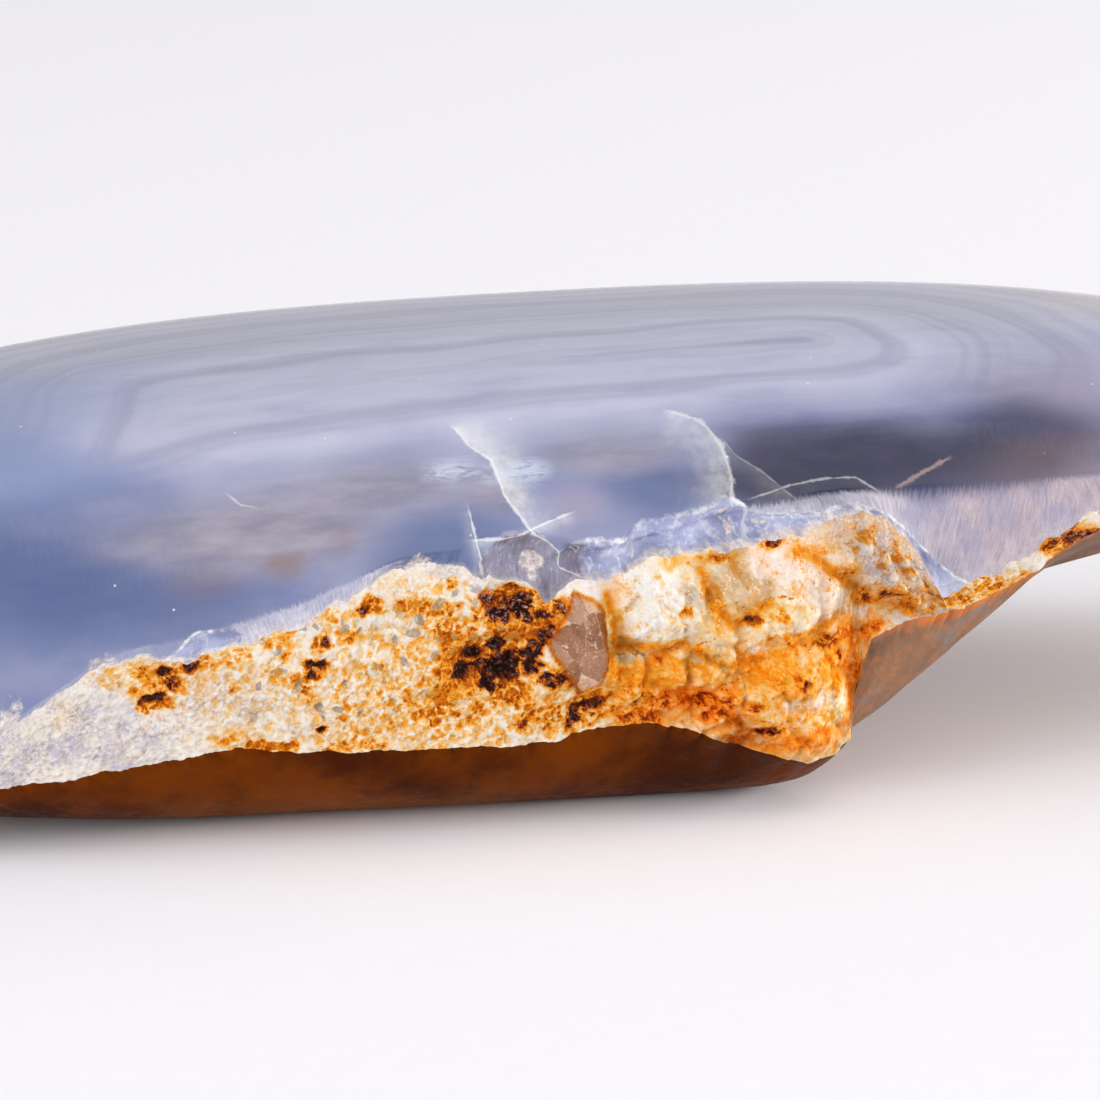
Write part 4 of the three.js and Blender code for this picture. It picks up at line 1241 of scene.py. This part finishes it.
def weathered(finish, n, stained):
    """Cream weathering, greyer where it is chalky. Gives the colour and how chalky it is."""
    near_polish = (finish.field("zone") + n.small_off * 0.5).ramp(0.92, 1.04, 0.0, 0.85)
    chalky = most(finish.field("chalk"), finish.field("fluff"), near_polish) * stained.fall(0.4, 0.6)
    colour = n.small.ramp(0.3, 0.62).mix(seen(255, 253, 250), seen(255, 240, 222))
    mottled = (n.patch + n.tiny_off).ramp(0.42, 0.66, 0.0, 0.8)
    return (mottled * chalky).mix(colour, seen(196, 188, 208)), chalky


def lump_grains(finish, n):
    """Grains of quartz, feldspar and clay, with sugary crystals; raised places are paler, as painted light."""
    colour = finish.field("lump_colour", "Color")
    crystal = n.warped.cells(3.2, output="Color").ramp(0.3, 0.7, 0.0, 0.2)
    colour = crystal.mix(colour, seen(255, 246, 234))
    colour = n.sugar.ramp(0.56, 0.72, 0.0, 0.75).mix(colour, seen(255, 250, 242))
    colour = n.sugar.fall(0.24, 0.44, 0.35).mix(colour, seen(226, 170, 112))
    # Painted light: places that stand above their surroundings are made paler.
    raised = (finish.field("hollow") + n.small_off * 0.1).fall(-0.12, 0.0, 0.25)
    return raised.mix(colour, seen(255, 244, 230))


def beaded_crust(finish, n):
    """The crust at the right: grey glassy patches among pale crumbs and beads."""
    glassy = (n.patch + n.small_off * 0.8).ramp(0.44, 0.56)
    colour = (glassy * 0.7).mix(seen(226, 190, 160), seen(166, 162, 178))
    colour = n.sugar.ramp(0.5, 0.64, 0.0, 0.75).mix(colour, seen(250, 238, 226))
    return (finish.field("beads") * 0.7).mix(colour, seen(244, 234, 222))


def smoky_quartz(n):
    """The broken quartz grain: brown facets with pale ridges, partly painted glints along the facet edges, and
    sugar.
    """
    facets = n.warped.scaled(1.0, 0.8, 0.2)
    colour = facets.cells(1.25, output="Color").ramp(0.3, 0.7).mix(seen(158, 108, 78), seen(246, 202, 172))
    colour = n.patch.ramp(0.42, 0.6, 0.0, 0.35).mix(colour, seen(196, 148, 120))
    colour = n.sugar.fall(0.3, 0.44, 0.4).mix(colour, seen(118, 76, 54))
    colour = n.sugar.ramp(0.6, 0.76, 0.0, 0.8).mix(colour, seen(250, 226, 210))
    # Pale ridges along the facet edges: partly painted glints where the edges catch the light.
    ridge_glint = facets.cells(1.25, "DISTANCE_TO_EDGE").fall(0.0, 0.03, 0.6)
    return (ridge_glint * n.sugar.ramp(0.4, 0.6)).mix(colour, seen(230, 196, 172))


def flat_plates(at, scale, long, wide, share):
    """Flat plates in a share of the cells of a grid, each turned its own way: 1 on them, 0 beside."""
    cell = at.feed("TexVoronoi", {"Vector": at, "Scale": scale}, "Position", voronoi_dimensions="2D")
    chance, turn, size = Value(at.tree, cell.socket.node.outputs["Color"]).parts()
    away = at.feed("VectorMath", {0: at, 1: cell}, operation="SUBTRACT")
    turned = at.feed("VectorRotate", {"Vector": away, "Angle": turn * (2 * math.pi)}, rotation_type="Z_AXIS")
    x, y, _ = turned.parts()
    reach_x = abs(x) * (1 / long)
    reach_y = abs(y) * (1 / wide)
    reach = (most(reach_x, reach_y) + (reach_x + reach_y) * 0.6) * 0.6
    return (reach / (0.55 + size)).fall(0.8, 1.05) * chance.ramp(1 - share, 1.01 - share)


def grey_flakes(finish, n):
    """Flat grey flakes on the left of the rind: where they are, and their colour."""
    plate = flat_plates(n.rim.warped(0.16, 5.0, 4.0, 0.6), 1.6, 0.19, 0.11, 0.5)
    worn = (n.patch + n.small_off * 0.9).ramp(0.34, 0.56, 0.15, 0.9)
    colour = n.small.ramp(0.35, 0.65).mix(seen(104, 96, 106), seen(168, 158, 164))
    colour = n.patch.ramp(0.46, 0.6, 0.0, 0.7).mix(colour, seen(190, 160, 124))
    return plate * finish.field("flaky") * worn, colour


def pores(at, scale, blur):
    """Pores with thin walls between them: from 0 on a wall to at most 1, by a value of each pore."""
    fill = at.cells(scale, output="Color").ramp(0.25, 0.75, 0.25, 1.0)
    wall = at.cells(scale, "DISTANCE_TO_EDGE") + blur
    return wall.ramp(0.03, 0.2) * fill


def porous_iron(n, stained, deep):
    """Iron of the porous rind, which gathers in the pores and hollows; the extra iron where the wall lies deep
    under its surroundings is also painted shade.
    """
    blur = n.tiny_off * 0.3
    hollow = pores(n.warped, 2.9, blur) * 0.65 + pores(n.warped, 6.0, blur) * 0.35
    # The hollows of the wall add iron: a real stain that gathers there, and painted shade where the wall lies
    # deep.
    hollow = least(hollow + deep.ramp(-0.03, 0.07, -0.15, 0.35), 1.0)
    iron = stained * (0.02 + (stained * 0.4 + hollow * 0.9))
    iron = least(iron * 0.95 + stained.ramp(0.4, 0.8, 0.0, 0.14), 0.6)
    speckle = n.small_off * 0.8 + n.tiny_off * 0.8
    return iron + stained.ramp(0.02, 0.6, 0.0, 0.9) * speckle


def lump_iron(finish, n, stained, deep, cleft):
    """Iron of the lump: in patches, where grains meet, in seams and clefts, and gathered in hollows, where it
    is also painted shade.
    """
    weave = n.small.ramp(0.34, 0.62, 0.15, 1.05) + n.tiny_off * 1.4
    meets = finish.field("meets") + (n.small_off + n.tiny_off * 0.8)
    joint = meets.ramp(0.4, 1.0) * n.patch.ramp(0.4, 0.6, 0.02, 0.4)
    seep = n.rim.noise(1.3, 7.0, 0.8).ramp(0.48, 0.66, 0.0, 0.26)
    flecks = n.rim.noise(3.0, 7.0, 0.8).ramp(0.54, 0.66, 0.0, 0.42)
    seam = finish.field("seams") + n.tiny_off * 0.12
    seam = seam.fall(0.01, 0.06, 0.62) * n.small.ramp(0.4, 0.56)
    # Iron in the hollows of the lump, partly painted shade where the lump lies deep.
    hollow_iron_and_shade = (deep + n.small_off * 0.1).ramp(0.0, 0.1) * (0.06 + stained * 0.4)
    crust_flecks = n.rim.noise(2.0, 6.0, 0.75).ramp(0.47, 0.62, 0.0, 0.5)
    woven = stained * weave
    return most(woven, joint, seep, flecks, cleft, seam, hollow_iron_and_shade), most(woven, cleft, crust_flecks)


def iron_amount(finish, n, stained, lump, crust, quartz):
    """How much iron there is, from 0 to 1 and past it, with the black spots added; in the hollows of the rind
    part of it is painted shade.
    """
    field = finish.field
    deep = field("hollow")
    cleft = field("cleft").fall(0.0, 0.35, 0.5) * n.small.ramp(0.3, 0.55, 0.2, 1.0)
    cleft = cleft * field("zone").fall(0.9, 0.97)
    on_lump, on_crust = lump_iron(finish, n, stained, deep, cleft)
    iron = lump.choose(porous_iron(n, stained, deep), on_lump)
    iron = crust.choose(iron, on_crust)
    iron = quartz.choose(iron, field("quartz_edge") * n.small.ramp(0.35, 0.6, 0.3, 0.75))
    crumb = 1.0 + (n.small_off * 2.2 + n.tiny_off * 1.6)
    return iron + field("dark") * (1.0 - quartz) * 0.62 * crumb


def rind():
    """The stone's rough outside: porous cream weathering, iron stains, and a lump of many grains."""
    finish = Finish("chalcedony_rind")
    field = finish.field
    n = RindNoise(field("rim", "Vector"))
    _, height, _ = n.rim.parts()
    lump, crust, quartz, stained = field("lump"), field("crust"), field("quartz"), field("rust")
    colour, chalky = weathered(finish, n, stained)
    colour = lump.mix(colour, lump_grains(finish, n))
    colour = crust.mix(colour, beaded_crust(finish, n))
    colour = quartz.mix(colour, smoky_quartz(n))
    iron = iron_amount(finish, n, stained, lump, crust, quartz)
    plate, plate_colour = grey_flakes(finish, n)
    colour = (plate * iron.fall(0.5, 0.8)).mix(colour, plate_colour)
    iron = iron * (1.0 - chalky * 0.8) * (1.0 - plate * 0.7)
    colour = colour.blend("MULTIPLY", 1.0, iron_tint(iron))
    colour = colour.blend("MULTIPLY", 1.0, lump.mix(RIND_TONE, PLAIN_TONE))
    glint = n.rim.noise(7.0, 4.0, 0.8).ramp(0.52, 0.64, 0.0, 0.9)
    glint = glint * field("dark").ramp(0.2, 0.5) * height.ramp(5.8, 6.6, 0.3, 1.0)
    colour = glint.mix(colour, n.tiny.ramp(0.45, 0.6).mix(seen(196, 96, 50), seen(238, 206, 198)))

    normal = (n.small + n.tiny * 0.5).bump(0.12)
    normal = (n.rim.noise(1.7, 7.0, 0.72) * lump).bump(0.24, normal)
    rough = n.tiny.ramp(0.3, 0.7, 0.7, 0.95) - quartz * 0.45
    finish.set(Base_Color=colour, Roughness=rough, IOR=1.5, Specular_IOR_Level=0.15, Normal=normal)
    return finish.material


def underside():
    """The worn underside: amber, darkened at the front and left as painted shade under the overhang, and
    golden lower down at the left; rose brown under the right, lighter there as painted light, with an orange
    streak by the foot of the rind that is partly painted glow.
    """
    finish = Finish("chalcedony_underside")
    at = finish.place()
    zone = finish.field("zone")
    right = finish.field("underside_right")
    cloud = at.noise(0.3, 5.0, 0.6)
    fine = at.noise(2.5, 5.0, 0.65)
    # Amber darkened as painted shade: the underside at the front and left lies in shadow under the overhang.
    shaded_amber = cloud.ramp(0.35, 0.65).mix(seen(104, 46, 0), seen(62, 22, 0))
    golden = (zone + cloud * 0.4).fall(-0.6, -0.1, 0.7)
    shaded_amber = (golden * finish.field("underside_left")).mix(shaded_amber, seen(142, 76, 8))
    # Rose brown, made lighter as painted light where light reaches the underside at the right.
    lit_rose = cloud.ramp(0.35, 0.65).mix(seen(142, 106, 82), seen(112, 86, 70))
    lit_rose = at.noise(0.45, 4.0, 0.6).ramp(0.52, 0.64, 0.0, 0.7).mix(lit_rose, seen(126, 116, 112))
    lit_rose = fine.ramp(0.5, 0.66, 0.0, 0.5).mix(lit_rose, seen(176, 112, 66))
    # An orange streak along the foot of the rind at the right: the stone's orange edge, partly painted glow of
    # light through the thin edge.
    near_rim = (zone + fine * 0.12).ramp(0.0, 0.06, 0.0, 0.85)
    streak = cloud.ramp(0.4, 0.6).mix(seen(206, 112, 40), seen(150, 104, 82))
    colour = (near_rim * right).mix(right.mix(shaded_amber, lit_rose), streak)
    rough = fine.ramp(0.3, 0.7, 0.3, 0.5)
    finish.set(Base_Color=colour, Roughness=rough, Specular_IOR_Level=0.04, Normal=fine.bump(0.08))
    return finish.material


def make_floor():
    """A plain pale floor."""
    mesh = bpy.data.meshes.new("floor")
    corners = [(x * FLOOR_REACH, y * FLOOR_REACH, 0) for x, y in ((-1, -1), (1, -1), (1, 1), (-1, 1))]
    mesh.from_pydata(corners, [], [(0, 1, 2, 3)])
    finish = Finish("pale_floor")
    grain = finish.place().noise(1.2, 3.0)
    finish.set(Base_Color=grain.mix(FLOOR_COLOUR, FLOOR_GRAIN), Roughness=0.9)
    mesh.materials.append(finish.material)
    add_object("floor", mesh)


def make_light():
    """A pale sky all round, and the lamps, which the camera doesn't see."""
    world = bpy.data.worlds.new("studio")
    world.use_nodes = True
    background = world.node_tree.nodes["Background"]
    background.inputs["Color"].default_value = SKY_COLOUR
    background.inputs["Strength"].default_value = SKY_STRENGTH
    bpy.context.scene.world = world
    for name, (power, wide, high, at, mirrored) in LAMPS.items():
        light = bpy.data.lights.new(name, "AREA")
        light.shape = "RECTANGLE"
        light.energy = power
        light.size = wide
        light.size_y = high
        lamp = add_object(name, light)
        lamp.location = at
        lamp.visible_camera = False
        lamp.visible_glossy = mirrored
        lamp.rotation_euler = (Vector(LAMPS_AIM_AT) - Vector(at)).to_track_quat("-Z", "Y").to_euler()


def make_camera():
    camera = bpy.data.cameras.new("camera")
    camera.sensor_width = SENSOR
    camera.lens = SENSOR * CAMERA_DISTANCE / SEEN_WIDTH
    camera.clip_start = 0.005
    camera.clip_end = 20
    holder = add_object("camera", camera)
    turn = math.radians(CAMERA_AZIMUTH)
    rise = math.radians(CAMERA_ELEVATION)
    back = Vector((math.sin(turn) * math.cos(rise), -math.cos(turn) * math.cos(rise), math.sin(rise)))
    holder.location = (Vector(CAMERA_TARGET) + back * CAMERA_DISTANCE) * MM
    holder.rotation_euler = back.to_track_quat("Z", "Y").to_euler()
    bpy.context.scene.camera = holder


def main():
    bpy.context.scene.view_settings.view_transform = "Standard"
    stone = make_stone()
    for material in (chalcedony(), rind(), underside()):
        stone.data.materials.append(material)
    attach(stone, "root")
    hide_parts("agate")
    make_floor()
    make_light()
    make_camera()


main()
